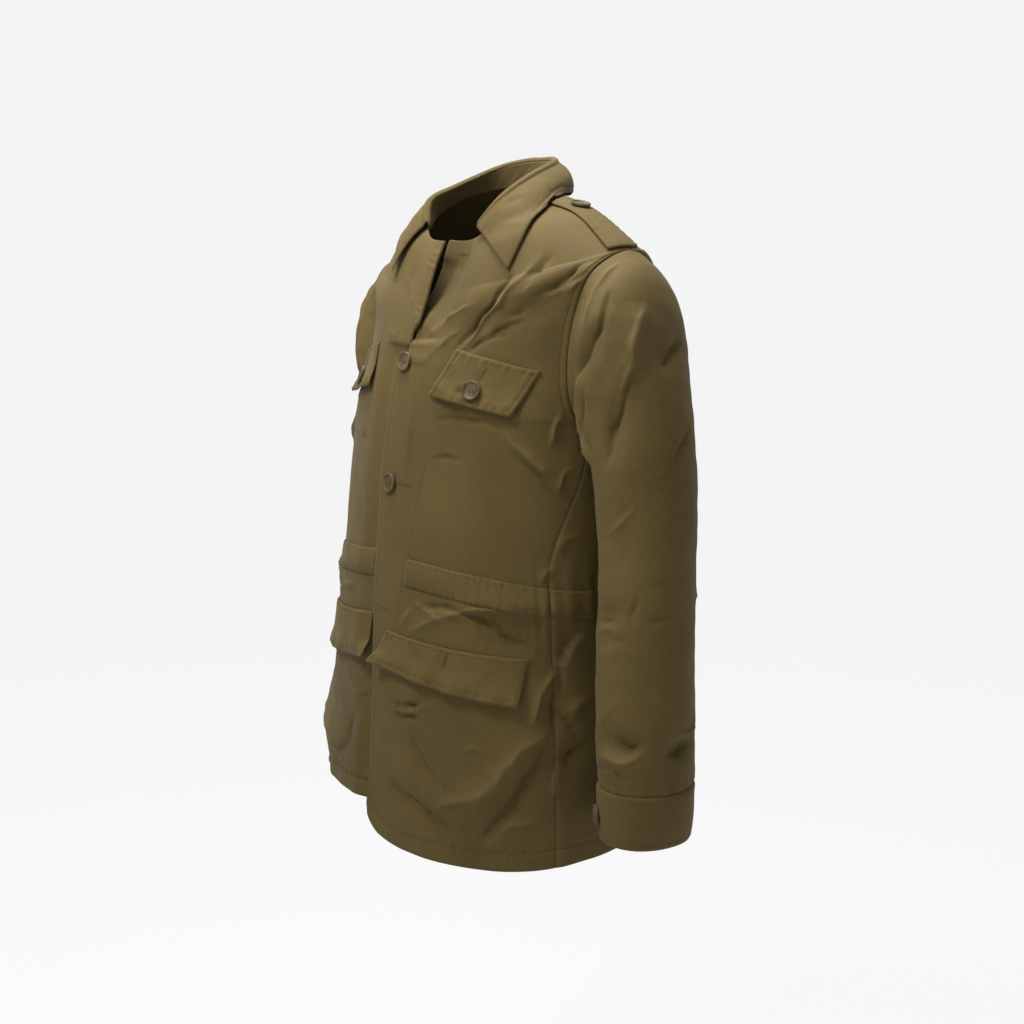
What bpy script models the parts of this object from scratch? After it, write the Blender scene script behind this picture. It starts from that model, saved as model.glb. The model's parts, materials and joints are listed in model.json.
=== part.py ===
"""Padded bush jacket, as it hangs on a wearer: hollow, buttoned at the chest, collar open.

Metres, +Z up. The wearer faces -Y, and the wearer's left is +X. The origin is the middle of the
neck hole, level with the points where the shoulder seams meet the collar.

Every cloth piece is a wall: a grid of points on its outer side, and the same grid moved in by the
cloth's thickness. The body is worked out from half rings, one for each height, that run from the
centre front round the side to the centre back. What lies on the body, such as a flap, is laid on
the body's own points and moved out.
"""

from math import cos, pi, radians, sin

import bpy
import numpy as np

# ---------------------------------------------------------------- driving sizes
BODY_WALL = 0.0040  # outer cloth, wadding and lining together
SLEEVE_WALL = 0.0036
COLLAR_WALL = 0.0026
FLAP_WALL = 0.0024
STRAP_WALL = 0.0026
CHANNEL_WALL = 0.0016
SEAM_GAP = 0.0004  # between two pieces where they are sewn together
LAY_GAP = 0.0006  # under a piece that lies on another

OVERLAP = 0.020  # each front passes the centre line by this much, below the crossing
CROSSING_Z = -0.160  # here the two front edges change places, just above the first button
CROSSING_TURN = 0.007  # within this height of it the lower front has moved in fully
CROSSING_LAP = (0.011, 0.024)  # and between these it comes to lie under the other
UNDER_STEP = 0.0052  # how far the front that lies beneath is moved in
OPEN_STEP = 0.0110  # the same near the neck, where the left front turns inwards
HEM_STEP = 0.0040  # and this much more at the hem, where the two hang to different depths
OPEN_LAP = {"right": 0.008, "left": 0.014}  # how far each passes the centre near the neck
CHANNEL_LEVELS = (2.84, 3.16)  # the drawcord channel's lower and upper edge, as body levels
CHANNEL_START = {"left": 0.037, "right": 0.025}  # from the centre line
BUTTON_RADIUS = 0.0108
BUTTON_SIDES = 20

# ---------------------------------------------------------------- the body's half rings
# One row for each height of the body, from the hem up. The centre front, the side and the centre
# back are points of the ring; full is how round the ring is between them (0.55 is an ellipse).
BODY_ROWS = (
    # name     front_y front_z  side_x side_y  side_z   back_y  back_z  front_full back_full
    ("hem",    -0.166, -0.706,  0.219,  0.004, -0.704,  0.146, -0.716,  0.66, 0.58),
    ("hip",    -0.160, -0.606,  0.215,  0.004, -0.612,  0.138, -0.618,  0.64, 0.58),
    ("thigh",  -0.155, -0.500,  0.209,  0.004, -0.520,  0.130, -0.520,  0.60, 0.58),
    ("waist",  -0.150, -0.405,  0.202,  0.001, -0.432,  0.121, -0.424,  0.54, 0.58),
    ("ribs",   -0.140, -0.310,  0.196, -0.008, -0.332,  0.126, -0.322,  0.50, 0.58),
    ("armpit", -0.128, -0.228,  0.189, -0.024, -0.238,  0.130, -0.226,  0.46, 0.58),
    ("blade",  -0.111, -0.160,  0.189, -0.024, -0.238,  0.128, -0.150,  0.44, 0.56),
    ("tip",    -0.090, -0.104,  0.211,  0.018, -0.056,  0.112, -0.066,  0.44, 0.50),
    ("yoke",   -0.078, -0.073,  0.144,  0.010, -0.020,  0.096, -0.020,  0.46, 0.50),
    ("neck",   -0.067, -0.051,  0.069,  0.002, -0.008,  0.078,  0.010,  0.56, 0.55),
)
BODY_COLUMNS = (
    "front_y", "front_z", "side_x", "side_y", "side_z", "back_y", "back_z", "front_full", "back_full",
)
ARMPIT, TIP, NECK = 5, 7, 9  # levels: the number of the row
LOW_STEPS, ARM_STEPS, TOP_STEPS = 14, 12, 4  # steps from hem to armpit, to tip, to neck
FRONT_STEPS, BACK_STEPS = 15, 26
SEAM_FORWARD = 0.25  # the side seam lies this share of the front forward of the side
HEM_DROP = {"left": -0.015, "right": 0.024}  # at the centre front
CORNER_LIFT = 0.010  # of the left front at its free edge

# The left armhole, from the shoulder tip down the front to the armpit and up the back to the tip.
ARMHOLE = (
    # name          x       y       z
    ("tip",         0.211,  0.018, -0.056),
    ("front_high",  0.203, -0.027, -0.077),
    ("front_mid",   0.190, -0.040, -0.120),
    ("front_low",   0.184, -0.045, -0.170),
    ("front_under", 0.186, -0.042, -0.214),
    ("armpit",      0.189, -0.024, -0.238),
    ("back_under",  0.188,  0.022, -0.226),
    ("back_low",    0.186,  0.062, -0.180),
    ("back_mid",    0.192,  0.077, -0.126),
    ("back_high",   0.204,  0.061, -0.079),
)

# ---------------------------------------------------------------- the left sleeve's rings
# outer and inner are the points furthest from and nearest to the body; the ring is an oval
# through both, and fore and aft are how far it reaches to the front and the back.
SLEEVE_ROWS = (
    # name      outer_x outer_z  inner_x inner_z  fore_y  aft_y  swing
    ("cap",     0.240, -0.075,  0.199, -0.252, -0.056,  0.078),
    ("head",    0.261, -0.107,  0.204, -0.272, -0.058,  0.076),
    ("upper",   0.278, -0.158,  0.209, -0.304, -0.057,  0.068),
    ("biceps",  0.300, -0.232,  0.212, -0.344, -0.056,  0.057),
    ("above",   0.313, -0.315,  0.214, -0.390, -0.054,  0.052),
    ("elbow",   0.318, -0.405,  0.216, -0.440, -0.057,  0.047),
    ("forearm", 0.323, -0.490,  0.222, -0.510, -0.064,  0.042),
    ("wrist",   0.328, -0.560,  0.230, -0.567, -0.070,  0.038),
    ("end",     0.330, -0.608,  0.236, -0.608, -0.071,  0.035),
)
RIGHT_SLEEVE_ROWS = (
    # name      outer_x outer_z  inner_x inner_z  fore_y  aft_y
    ("cap",     0.238, -0.082,  0.200, -0.252, -0.048,  0.084),
    ("head",    0.254, -0.114,  0.202, -0.272, -0.026,  0.108),
    ("upper",   0.268, -0.164,  0.199, -0.304,  0.002,  0.128),
    ("biceps",  0.280, -0.236,  0.193, -0.344,  0.026,  0.140),
    ("above",   0.287, -0.315,  0.190, -0.390,  0.034,  0.140),
    ("elbow",   0.294, -0.405,  0.192, -0.440,  0.031,  0.135),
    ("forearm", 0.300, -0.490,  0.200, -0.510,  0.024,  0.130),
    ("wrist",   0.306, -0.560,  0.208, -0.567,  0.018,  0.126),
    ("end",     0.308, -0.608,  0.214, -0.608,  0.017,  0.123),
)
CUFF = (  # below the sleeve's end: how much wider than it, and how far down
    ("seam",    0.0020, -0.0005),
    ("middle",  0.0010, -0.0320),
    ("edge",   -0.0015, -0.0590),
)
RING_COLUMNS = ("outer_x", "outer_z", "inner_x", "inner_z", "fore_y", "aft_y")
SLEEVE_SIDES = 24
SLEEVE_RINGS, CUFF_RINGS = 22, 3
RIGHT_SHOULDER = (0.020, -0.021)  # the right shoulder sits further back and lower than the left

# ---------------------------------------------------------------- the collar's sections
# One row for each section from the front end to the centre back, and a table for each side, for
# the right leaf hangs steeper: round is where it stands on the half neckline, as a share of it,
# fold is its top, edge its outer rim, and bulge how far the leaf arches between the two.
COLLAR_ROWS = {
    "left": (
        # name    round  fold_x  fold_y  fold_z  edge_x  edge_y  edge_z  bulge
        ("point",  0.24,  0.047, -0.054, -0.029,  0.113, -0.061, -0.080, 0.003),
        ("front",  0.38,  0.065, -0.038, -0.001,  0.113, -0.028, -0.040, 0.005),
        ("side",   0.54,  0.068,  0.000,  0.022,  0.099,  0.010, -0.009, 0.006),
        ("nape",   0.78,  0.050,  0.052,  0.038,  0.068,  0.064,  0.003, 0.006),
        ("behind", 0.91,  0.024,  0.076,  0.043,  0.036,  0.093,  0.000, 0.006),
        ("back",   1.00,  0.000,  0.082,  0.043,  0.000,  0.101,  0.000, 0.006),
    ),
    "right": (
        # name    round  fold_x  fold_y  fold_z  edge_x  edge_y  edge_z  bulge
        ("point",  0.24,  0.046, -0.052, -0.029,  0.070, -0.086, -0.084, 0.003),
        ("front",  0.38,  0.061, -0.036, -0.003,  0.092, -0.048, -0.050, 0.005),
        ("side",   0.54,  0.061,  0.002,  0.013,  0.090,  0.006, -0.020, 0.006),
        ("nape",   0.78,  0.047,  0.053,  0.034,  0.066,  0.064, -0.001, 0.006),
        ("behind", 0.91,  0.023,  0.076,  0.042,  0.035,  0.093,  0.000, 0.006),
        ("back",   1.00,  0.000,  0.082,  0.043,  0.000,  0.101,  0.000, 0.006),
    ),
}
COLLAR_STEPS = 9  # from the front end to the centre back
FOLD_RADIUS = 0.0044
LEAF_GAP = 0.0030

# ---------------------------------------------------------------- what lies on the fronts
# Corners as x and z on the left front, upper then lower, the one nearest the centre first.
FLAPS = (
    # name          upper x, z     upper far x, z  lower x, z     lower far x, z   belly
    ("chest_left",  0.070, -0.162,  0.162, -0.182,  0.049, -0.213,  0.143, -0.230, 0.003),
    ("hip_left",    0.010, -0.475,  0.174, -0.486, -0.010, -0.514,  0.170, -0.537, 0.005),
    ("chest_right", 0.070, -0.164,  0.156, -0.184,  0.062, -0.212,  0.150, -0.230, 0.003),
    ("hip_right",   0.026, -0.462,  0.176, -0.478,  0.028, -0.514,  0.172, -0.532, 0.004),
)
FLAP_STEPS = (12, 4)
FRONT_BUTTONS = (
    # name, z
    ("first", -0.180),
    ("second", -0.312),
)
FLAP_BUTTON = (0.47, 0.68)  # on a chest flap: shares of its width and its depth
# near and far are how far a shoulder strap's front and back edges lie behind the shoulder seam
STRAP_ROWS = (
    # end      level  near    far
    ("sleeve", 7.05, -0.023, 0.020),
    ("neck",   8.66,  0.004, 0.038),
)
STRAP_STEPS = (9, 6)
STRAP_BUTTON = 0.70  # the share of its length from the sleeve to its button
STRAP_GAP = 0.0010

# ---------------------------------------------------------------- the largest folds
# height is how far a fold stands out (a trough is negative) and width how wide it is, in
# millimetres. Its line is given in metres and laid on the surface; its ends fade out.
BODY_FOLDS = (
    # height, width, line
    (-5.0, 14, ((0.204, -0.013, -0.066), (0.178, -0.049, -0.090), (0.151, -0.064, -0.116),
                (0.125, -0.074, -0.126))),
    (-4.0, 13, ((0.118, -0.062, -0.082), (0.092, -0.087, -0.130), (0.071, -0.101, -0.162))),
    (3.0, 12, ((0.050, -0.078, -0.085), (0.020, -0.092, -0.122), (0.004, -0.106, -0.146))),
    (4.0, 12, ((0.132, -0.090, -0.246), (0.162, -0.073, -0.276), (0.184, -0.050, -0.308))),
    (4.0, 12, ((0.048, -0.150, -0.466), (0.107, -0.129, -0.438), (0.160, -0.091, -0.431),
               (0.199, -0.027, -0.443))),
    (-3.5, 12, ((0.120, -0.122, -0.442), (0.150, -0.105, -0.464), (0.178, -0.080, -0.476))),
    (5.0, 19, ((0.192, -0.072, -0.555), (0.169, -0.108, -0.602), (0.143, -0.130, -0.637),
               (0.085, -0.152, -0.662))),
    (-5.0, 18, ((0.196, -0.070, -0.580), (0.176, -0.103, -0.629), (0.146, -0.132, -0.690))),
    (-4.0, 16, ((0.020, -0.161, -0.640), (0.048, -0.160, -0.657), (0.120, -0.144, -0.688))),
    (-3.5, 20, ((0.050, -0.155, -0.570), (0.064, -0.155, -0.604), (0.100, -0.149, -0.636))),
    (-5.0, 14, ((0.198, -0.035, -0.450), (0.192, -0.057, -0.488), (0.193, -0.066, -0.533),
                (0.196, -0.069, -0.575))),
    (4.0, 12, ((0.200, -0.028, -0.456), (0.193, -0.058, -0.500), (0.178, -0.090, -0.555))),
    (-4.0, 14, ((0.209, -0.031, -0.575), (0.204, -0.052, -0.594), (0.198, -0.070, -0.625))),
    (-4.0, 15, ((-0.190, 0.010, -0.100), (-0.150, -0.045, -0.124), (-0.100, -0.080, -0.154))),
    (4.0, 14, ((-0.140, -0.092, -0.256), (-0.165, -0.070, -0.285), (-0.185, -0.045, -0.320))),
    (4.0, 14, ((-0.070, -0.142, -0.452), (-0.130, -0.112, -0.440), (-0.190, -0.050, -0.446))),
    (5.0, 22, ((-0.198, -0.060, -0.560), (-0.165, -0.110, -0.615), (-0.095, -0.150, -0.650))),
    (-5.0, 20, ((-0.204, -0.050, -0.590), (-0.178, -0.100, -0.650), (-0.135, -0.135, -0.700))),
    (-4.0, 20, ((0.178, 0.070, -0.180), (0.125, 0.110, -0.250), (0.055, 0.125, -0.325))),
    (-4.0, 18, ((-0.172, 0.085, -0.200), (-0.115, 0.115, -0.262), (-0.050, 0.125, -0.320))),
    (4.0, 16, ((0.165, 0.060, -0.400), (0.100, 0.105, -0.378), (0.030, 0.122, -0.384))),
    (5.0, 24, ((0.118, 0.100, -0.440), (0.105, 0.118, -0.590), (0.112, 0.128, -0.770))),
    (-5.0, 24, ((0.045, 0.120, -0.450), (0.040, 0.136, -0.600), (0.048, 0.143, -0.770))),
    (5.0, 26, ((-0.095, 0.110, -0.440), (-0.080, 0.128, -0.600), (-0.086, 0.138, -0.770))),
    (-5.0, 22, ((-0.158, 0.070, -0.450), (-0.155, 0.090, -0.600), (-0.166, 0.095, -0.770))),
)
LEFT_SLEEVE_FOLDS = (
    (-6.0, 14, ((0.240, -0.046, -0.125), (0.228, -0.055, -0.154), (0.206, -0.050, -0.184))),
    (5.0, 14, ((0.258, -0.010, -0.106), (0.268, -0.032, -0.160), (0.264, -0.050, -0.220))),
    (-5.0, 13, ((0.272, -0.034, -0.176), (0.266, -0.050, -0.220), (0.259, -0.056, -0.270))),
    (6.0, 15, ((0.216, -0.054, -0.180), (0.214, -0.048, -0.226), (0.230, -0.051, -0.276))),
    (-4.0, 12, ((0.272, 0.050, -0.146), (0.279, 0.014, -0.156), (0.286, -0.008, -0.172))),
    (-4.0, 14, ((0.224, -0.040, -0.420), (0.252, -0.055, -0.426), (0.296, -0.048, -0.415))),
    (-5.0, 14, ((0.262, -0.066, -0.546), (0.296, -0.064, -0.556), (0.318, -0.046, -0.551))),
    (4.0, 12, ((0.256, -0.066, -0.566), (0.283, -0.070, -0.580), (0.315, -0.052, -0.568))),
    (-6.0, 14, ((0.328, 0.026, -0.558), (0.330, -0.004, -0.562), (0.326, -0.034, -0.566))),
)
RIGHT_SLEEVE_FOLDS = (
    (-5.0, 14, ((-0.222, 0.000, -0.130), (-0.214, 0.004, -0.170), (-0.196, 0.012, -0.200))),
    (5.0, 14, ((-0.240, 0.020, -0.120), (-0.246, 0.026, -0.180), (-0.240, 0.032, -0.240))),
    (-4.0, 14, ((-0.196, 0.050, -0.424), (-0.226, 0.034, -0.430), (-0.268, 0.044, -0.418))),
    (-5.0, 14, ((-0.236, 0.024, -0.552), (-0.266, 0.020, -0.560), (-0.292, 0.034, -0.554))),
    (4.0, 13, ((-0.230, 0.024, -0.574), (-0.262, 0.018, -0.586), (-0.294, 0.036, -0.576))),
    (-5.0, 15, ((-0.300, 0.100, -0.556), (-0.306, 0.070, -0.564), (-0.298, 0.040, -0.568))),
)

# ---------------------------------------------------------------- colours
OLIVE = (0.115, 0.088, 0.042, 1.0)
BUTTON_BROWN = (0.120, 0.088, 0.052, 1.0)


# ---------------------------------------------------------------- curves
def through(rows, at):
    """A smooth curve through evenly numbered rows, read at the numbers in at."""
    rows = np.asarray(rows, float)
    at = np.clip(np.asarray(at, float), 0, len(rows) - 1)
    first = np.minimum(at.astype(int), len(rows) - 2)
    t = (at - first)[..., None]
    slope = np.gradient(rows, axis=0)
    return (
        (2 * t**3 - 3 * t**2 + 1) * rows[first]
        + (t**3 - 2 * t**2 + t) * slope[first]
        + (3 * t**2 - 2 * t**3) * rows[first + 1]
        + (t**3 - t**2) * slope[first + 1]
    )


def ramp(x, start, end):
    """0 before start, 1 after end, smooth between."""
    t = np.clip((np.asarray(x, float) - start) / (end - start), 0, 1)
    return t * t * (3 - 2 * t)


def unit(v):
    return v / np.maximum(np.linalg.norm(v, axis=-1, keepdims=True), 1e-12)


def bezier(p0, p1, p2, p3):
    t = np.linspace(0, 1, 41)[:, None]
    return (1 - t) ** 3 * p0 + 3 * (1 - t) ** 2 * t * p1 + 3 * (1 - t) * t**2 * p2 + t**3 * p3


def lengths(line):
    return np.concatenate([[0], np.cumsum(np.linalg.norm(np.diff(line, axis=0), axis=1))])


def at_length(line, distance):
    """Points of a polyline at these distances from its start."""
    along = lengths(line)
    return np.stack([np.interp(distance, along, line[:, k]) for k in range(3)], -1)


def mirrored(points):
    return points * np.array([-1.0, 1.0, 1.0])


# ---------------------------------------------------------------- the body's surface
def armhole(at):
    """Points of the left armhole: 0 is the tip, 5 the armpit and 10 the tip again."""
    loop = [row[1:] for row in ARMHOLE]
    return through(loop[-2:] + loop + loop[:3], np.mod(at, 10) + 2)


def half_lines(level):
    """The body's left half at one level, as two lines: the front, from the centre front, and the
    back, to the centre back. They meet at the side seam or on the shoulder, or end at the armhole."""
    values = through([row[1:] for row in BODY_ROWS], np.array([level]))[0]
    row = dict(zip(BODY_COLUMNS, values))
    front = np.array([0, row["front_y"], row["front_z"]])
    back = np.array([0, row["back_y"], row["back_z"]])
    right, backward = np.array([1.0, 0, 0]), np.array([0, 1.0, 0])
    into, out_of = backward, backward
    if level <= ARMPIT:
        sides = [row_[3:6] for row_ in BODY_ROWS[: ARMPIT + 1]]
        front_end = back_end = through(sides, np.array([level]))[0]
    elif level < TIP:
        share = (level - ARMPIT) / (TIP - ARMPIT)
        front_end = armhole(np.array([5 * (1 - share)]))[0]
        back_end = armhole(np.array([5 * (1 + share)]))[0]
        opened = sin(pi * share)
        into = unit(backward * (1 - opened) + np.array([0.80, 0.58, 0.10]) * opened)
        out_of = unit(backward * (1 - opened) + np.array([-0.80, 0.60, 0.0]) * opened)
    else:
        share = (level - TIP) / (NECK - TIP)
        sides = [row_[3:6] for row_ in BODY_ROWS[TIP:]]
        front_end = back_end = through(sides, np.array([level - TIP]))[0]
        into = out_of = unit(np.array([0, 1.0, 0.45 * share**2]))
    reach = row["front_full"]
    front_line = bezier(
        front,
        front + right * reach * front_end[0],
        front_end - into * reach * np.linalg.norm((front_end - front)[1:]),
        front_end,
    )
    reach = row["back_full"]
    back_line = bezier(
        back_end,
        back_end + out_of * reach * np.linalg.norm((back - back_end)[1:]),
        back + right * reach * back_end[0],
        back,
    )
    if level < ARMPIT:
        forward = SEAM_FORWARD * (1 - ramp(level, ARMPIT - 1.8, ARMPIT))
        cut = lengths(front_line)[-1] * (1 - forward)
        whole = np.concatenate([front_line, back_line[1:]])
        front_line = at_length(whole, np.linspace(0, cut, 60))
        back_line = at_length(whole, np.linspace(cut, lengths(whole)[-1], 90))
    return front_line, back_line


def slope(points):
    """Moves the right shoulder and its sleeve to where they hang."""
    share = ramp(-points[..., 0], 0.06, 0.20) * ramp(points[..., 2], -0.27, -0.12)
    return points + np.array([0, *RIGHT_SHOULDER]) * share[..., None]


def hang(points, level, side):
    """The hem hangs lower on the left than on the right; this moves one side's points."""
    share = (1 - ramp(level, 0, 1.4)) * ramp(-points[..., 1], -0.10, 0.16)
    lift = HEM_DROP[side] * share
    if side == "left":
        corner = (1 - ramp(level, 0, 0.5)) * (1 - ramp(points[..., 0], -0.02, 0.05))
        lift = lift + CORNER_LIFT * corner * (points[..., 1] < 0)
    return points + np.array([0, 0, 1.0]) * lift[..., None]


def passed_centre(height, side):
    """How far a front's free edge passes the centre line, at this height."""
    lapped = ramp(abs(height - CROSSING_Z), *CROSSING_LAP)
    full = OVERLAP if height < CROSSING_Z else OPEN_LAP[side]
    return full * lapped - SEAM_GAP


def moved_in(height, side):
    """How far a front's edge is moved in at this height, where it lies beneath the other."""
    beneath = height < CROSSING_Z if side == "right" else height > CROSSING_Z
    if not beneath:
        return 0.0
    open_share = ramp(height, -0.150, -0.095)
    hem_share = ramp(-height, 0.52, 0.66)
    step = UNDER_STEP + (OPEN_STEP - UNDER_STEP) * open_share + HEM_STEP * hem_share
    return step * ramp(abs(height - CROSSING_Z), 0.0, CROSSING_TURN)


def front_sheet(levels, steps, side):
    """Points on the outer side of one front, a row for each level and columns from its free edge.
    The front that lies beneath at the overlap is moved in there."""
    rows = []
    for level in levels:
        line = half_lines(level)[0]
        both = np.concatenate([mirrored(line[:0:-1]), line])
        passed = passed_centre(line[0, 2], side)
        length = lengths(line)[-1]
        start = length - passed
        edge_end = 0.052 + passed
        narrow = max(3, steps // 5)
        places = np.concatenate([
            np.linspace(start, start + edge_end, narrow, endpoint=False),
            np.linspace(start + edge_end, 2 * length, steps + 1 - narrow),
        ])
        row = at_length(both, places)
        inward = unit(np.array([0, 1.0, -0.35 * ramp(level, ARMPIT, TIP)]))
        near_edge = 1 - ramp(row[:, 0], OVERLAP + 0.003, 0.056 - 0.012 * ramp(level, TIP, NECK))
        row = row + inward * (moved_in(line[0, 2], side) * near_edge)[:, None]
        row = hang(row, level, side)
        rows.append(row if side == "left" else mirrored(row)[::-1])
    return slope(np.array(rows))


def back_sheet(levels, steps):
    """Points on the outer side of the back, from the left side seam to the right one."""
    rows = []
    for level in levels:
        line = half_lines(level)[1]
        both = np.concatenate([hang(line, level, "left"), mirrored(hang(line[-2::-1], level, "right"))])
        rows.append(at_length(both, np.linspace(0, lengths(both)[-1], steps + 1)))
    return slope(np.array(rows))


def body_levels():
    return np.concatenate([
        np.linspace(0, ARMPIT, LOW_STEPS + 1)[:-1],
        np.linspace(ARMPIT, TIP, ARM_STEPS + 1),
        np.linspace(TIP, NECK, TOP_STEPS + 1)[1:],
    ])


def normals_of(sheet, tube=False):
    """Unit normals of a sheet of points. A tube's last column is its first one again."""
    if tube:
        wide = np.concatenate([sheet[:, -2:-1], sheet, sheet[:, 1:2]], 1)
        across = np.gradient(wide, axis=1)[:, 1:-1]
    else:
        across = np.gradient(sheet, axis=1)
    return unit(np.cross(across, np.gradient(sheet, axis=0)))


def at_place(sheet, i, j):
    """Points of a sheet between its rows and columns."""
    a = np.clip(np.floor(i).astype(int), 0, sheet.shape[0] - 2)
    b = np.clip(np.floor(j).astype(int), 0, sheet.shape[1] - 2)
    s, t = (i - a)[..., None], (j - b)[..., None]
    lower = sheet[a, b] * (1 - t) + sheet[a, b + 1] * t
    upper = sheet[a + 1, b] * (1 - t) + sheet[a + 1, b + 1] * t
    return lower * (1 - s) + upper * s


def find_place(sheet, x, z):
    """Row and column numbers of the points of a front that have this x and z."""
    flat = sheet[..., [0, 2]]
    target = np.stack([x, z], -1)
    far = np.linalg.norm(flat.reshape(-1, 2) - target[..., None, :], axis=-1).argmin(-1)
    i, j = (far // sheet.shape[1]).astype(float), (far % sheet.shape[1]).astype(float)
    for _ in range(12):
        here = at_place(flat, i, j)
        di = (at_place(flat, i + 0.05, j) - here) / 0.05
        dj = (at_place(flat, i, j + 0.05) - here) / 0.05
        det = di[..., 0] * dj[..., 1] - di[..., 1] * dj[..., 0]
        off = target - here
        i = np.clip(i + (off[..., 0] * dj[..., 1] - off[..., 1] * dj[..., 0]) / det, 0, sheet.shape[0] - 1)
        j = np.clip(j + (di[..., 0] * off[..., 1] - di[..., 1] * off[..., 0]) / det, 0, sheet.shape[1] - 1)
    return i, j


def folded(sheet, normals, folds, samples, sample_normals):
    """A sheet with its folds. Their lines are laid on the samples of the unfolded surface."""
    height = np.zeros(sheet.shape[:-1])
    for tall, wide, line in folds:
        line = np.array(line, float)
        dense = at_length(line, np.linspace(0, lengths(line)[-1], 24))
        nearest = np.linalg.norm(samples - dense[:, None], axis=-1).argmin(1)
        off = ((dense - samples[nearest]) * sample_normals[nearest]).sum(-1, keepdims=True)
        dense = dense - off * sample_normals[nearest]
        away = np.linalg.norm(sheet[..., None, :] - dense, axis=-1)
        fade = np.sin(pi * (away.argmin(-1) + 0.5) / len(dense)) ** 0.7
        height += tall / 1000 * fade * np.exp(-((away.min(-1) / (wide / 1000)) ** 2))
    return sheet + normals * height[..., None], height


def fine(sheet):
    """The points of a sheet, four times as dense each way."""
    ii, jj = (np.arange(0, n - 0.9, 0.25) for n in sheet.shape[:2])
    return at_place(sheet, *np.meshgrid(ii, jj, indexing="ij")).reshape(-1, 3)


# ---------------------------------------------------------------- the sleeves' surface
def oval(values, at):
    """One ring of a sleeve. at counts like the armhole: 0 outside, 5 next to the body."""
    row = dict(zip(RING_COLUMNS, values))
    angle = at / 10 * 2 * pi
    middle = (row["fore_y"] + row["aft_y"]) / 2
    depth = (row["aft_y"] - row["fore_y"]) / 2
    half_x = (row["outer_x"] - row["inner_x"]) / 2
    half_z = (row["outer_z"] - row["inner_z"]) / 2
    x = row["inner_x"] + half_x * (1 + np.cos(angle))
    y = middle - depth * np.sin(angle)
    z = row["inner_z"] + half_z * (1 + np.cos(angle))
    return np.stack([x, y, z], -1)


def sleeve_sheet(rings, sides, side):
    """Points on the outer side of a sleeve: the armhole, then ovals down to the wrist."""
    at = np.linspace(0, 10, sides + 1)
    table = SLEEVE_ROWS if side == "left" else RIGHT_SLEEVE_ROWS
    ovals = np.array([oval(row[1:], at) for row in table])
    loop = armhole(at)
    loop = loop + unit(ovals[0] - loop) * SEAM_GAP
    stack = np.concatenate([loop[None], ovals])
    numbers = np.linspace(0, 1, rings) ** 1.15 * (len(stack) - 1)
    sheet = through(stack.reshape(len(stack), -1), numbers).reshape(rings, sides + 1, 3)
    return sheet if side == "left" else slope(mirrored(sheet)[:, ::-1])


def cuff_sheet(rings, sides, side):
    """Points on the outer side of a cuff, worked out from the sleeve's last ring."""
    at = np.linspace(0, 10, sides + 1)
    end = oval((SLEEVE_ROWS if side == "left" else RIGHT_SLEEVE_ROWS)[-1][1:], at)
    outwards = unit(end - end[:-1].mean(0))
    stack = np.array([end + outwards * more + np.array([0, 0, down]) for _, more, down in CUFF])
    numbers = np.linspace(0, len(stack) - 1, rings)
    sheet = through(stack.reshape(len(stack), -1), numbers).reshape(rings, sides + 1, 3)
    return sheet if side == "left" else mirrored(sheet)[:, ::-1]


# ---------------------------------------------------------------- meshes
def material(name, colour, roughness):
    made = bpy.data.materials.new(name)
    made.use_nodes = True
    shader = made.node_tree.nodes["Principled BSDF"]
    shader.inputs["Base Color"].default_value = colour
    shader.inputs["Roughness"].default_value = roughness
    shader.inputs["Metallic"].default_value = 0.0
    return made


def add_object(name, points, faces, look):
    mesh = bpy.data.meshes.new(name)
    mesh.from_pydata([tuple(p) for p in points], [], faces)
    mesh.materials.append(look)
    mesh.shade_smooth()
    mesh.set_sharp_from_angle(angle=radians(50))
    made = bpy.data.objects.new(name, mesh)
    bpy.context.scene.collection.objects.link(made)
    return made


def wall(name, outer, inner, look, tube=False):
    """A closed solid between two sheets. A tube's last column is its first one again."""
    columns = outer.shape[1]
    if tube:
        columns -= 1
        outer, inner = outer[:, :-1], inner[:, :-1]
    rows = outer.shape[0]
    count = rows * columns
    points = np.concatenate([outer.reshape(-1, 3), inner.reshape(-1, 3)])

    def at(i, j, deep):
        return deep * count + i * columns + j % columns

    strips = columns if tube else columns - 1
    faces = []
    for i in range(rows - 1):
        for j in range(strips):
            faces.append((at(i, j, 0), at(i, j + 1, 0), at(i + 1, j + 1, 0), at(i + 1, j, 0)))
            faces.append((at(i, j, 1), at(i + 1, j, 1), at(i + 1, j + 1, 1), at(i, j + 1, 1)))
    last = rows - 1
    for j in range(strips):
        faces.append((at(0, j, 0), at(0, j, 1), at(0, j + 1, 1), at(0, j + 1, 0)))
        faces.append((at(last, j, 0), at(last, j + 1, 0), at(last, j + 1, 1), at(last, j, 1)))
    if not tube:
        end = columns - 1
        for i in range(last):
            faces.append((at(i, 0, 0), at(i + 1, 0, 0), at(i + 1, 0, 1), at(i, 0, 1)))
            faces.append((at(i, end, 0), at(i, end, 1), at(i + 1, end, 1), at(i + 1, end, 0)))
    i, j = rows // 2, columns // 2
    across, up = outer[i, j] - outer[i, j - 1], outer[i, j] - outer[i - 1, j]
    if np.cross(across, up) @ (outer[i, j] - inner[i, j]) < 0:
        faces = [face[::-1] for face in faces]
    return add_object(name, points, faces, look)


def layer(name, sheet, normals, gap, thick, look):
    """A wall that lies on a sheet of points, gap above it."""
    wall(name, sheet + normals * (gap + thick), sheet + normals * gap, look)


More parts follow.
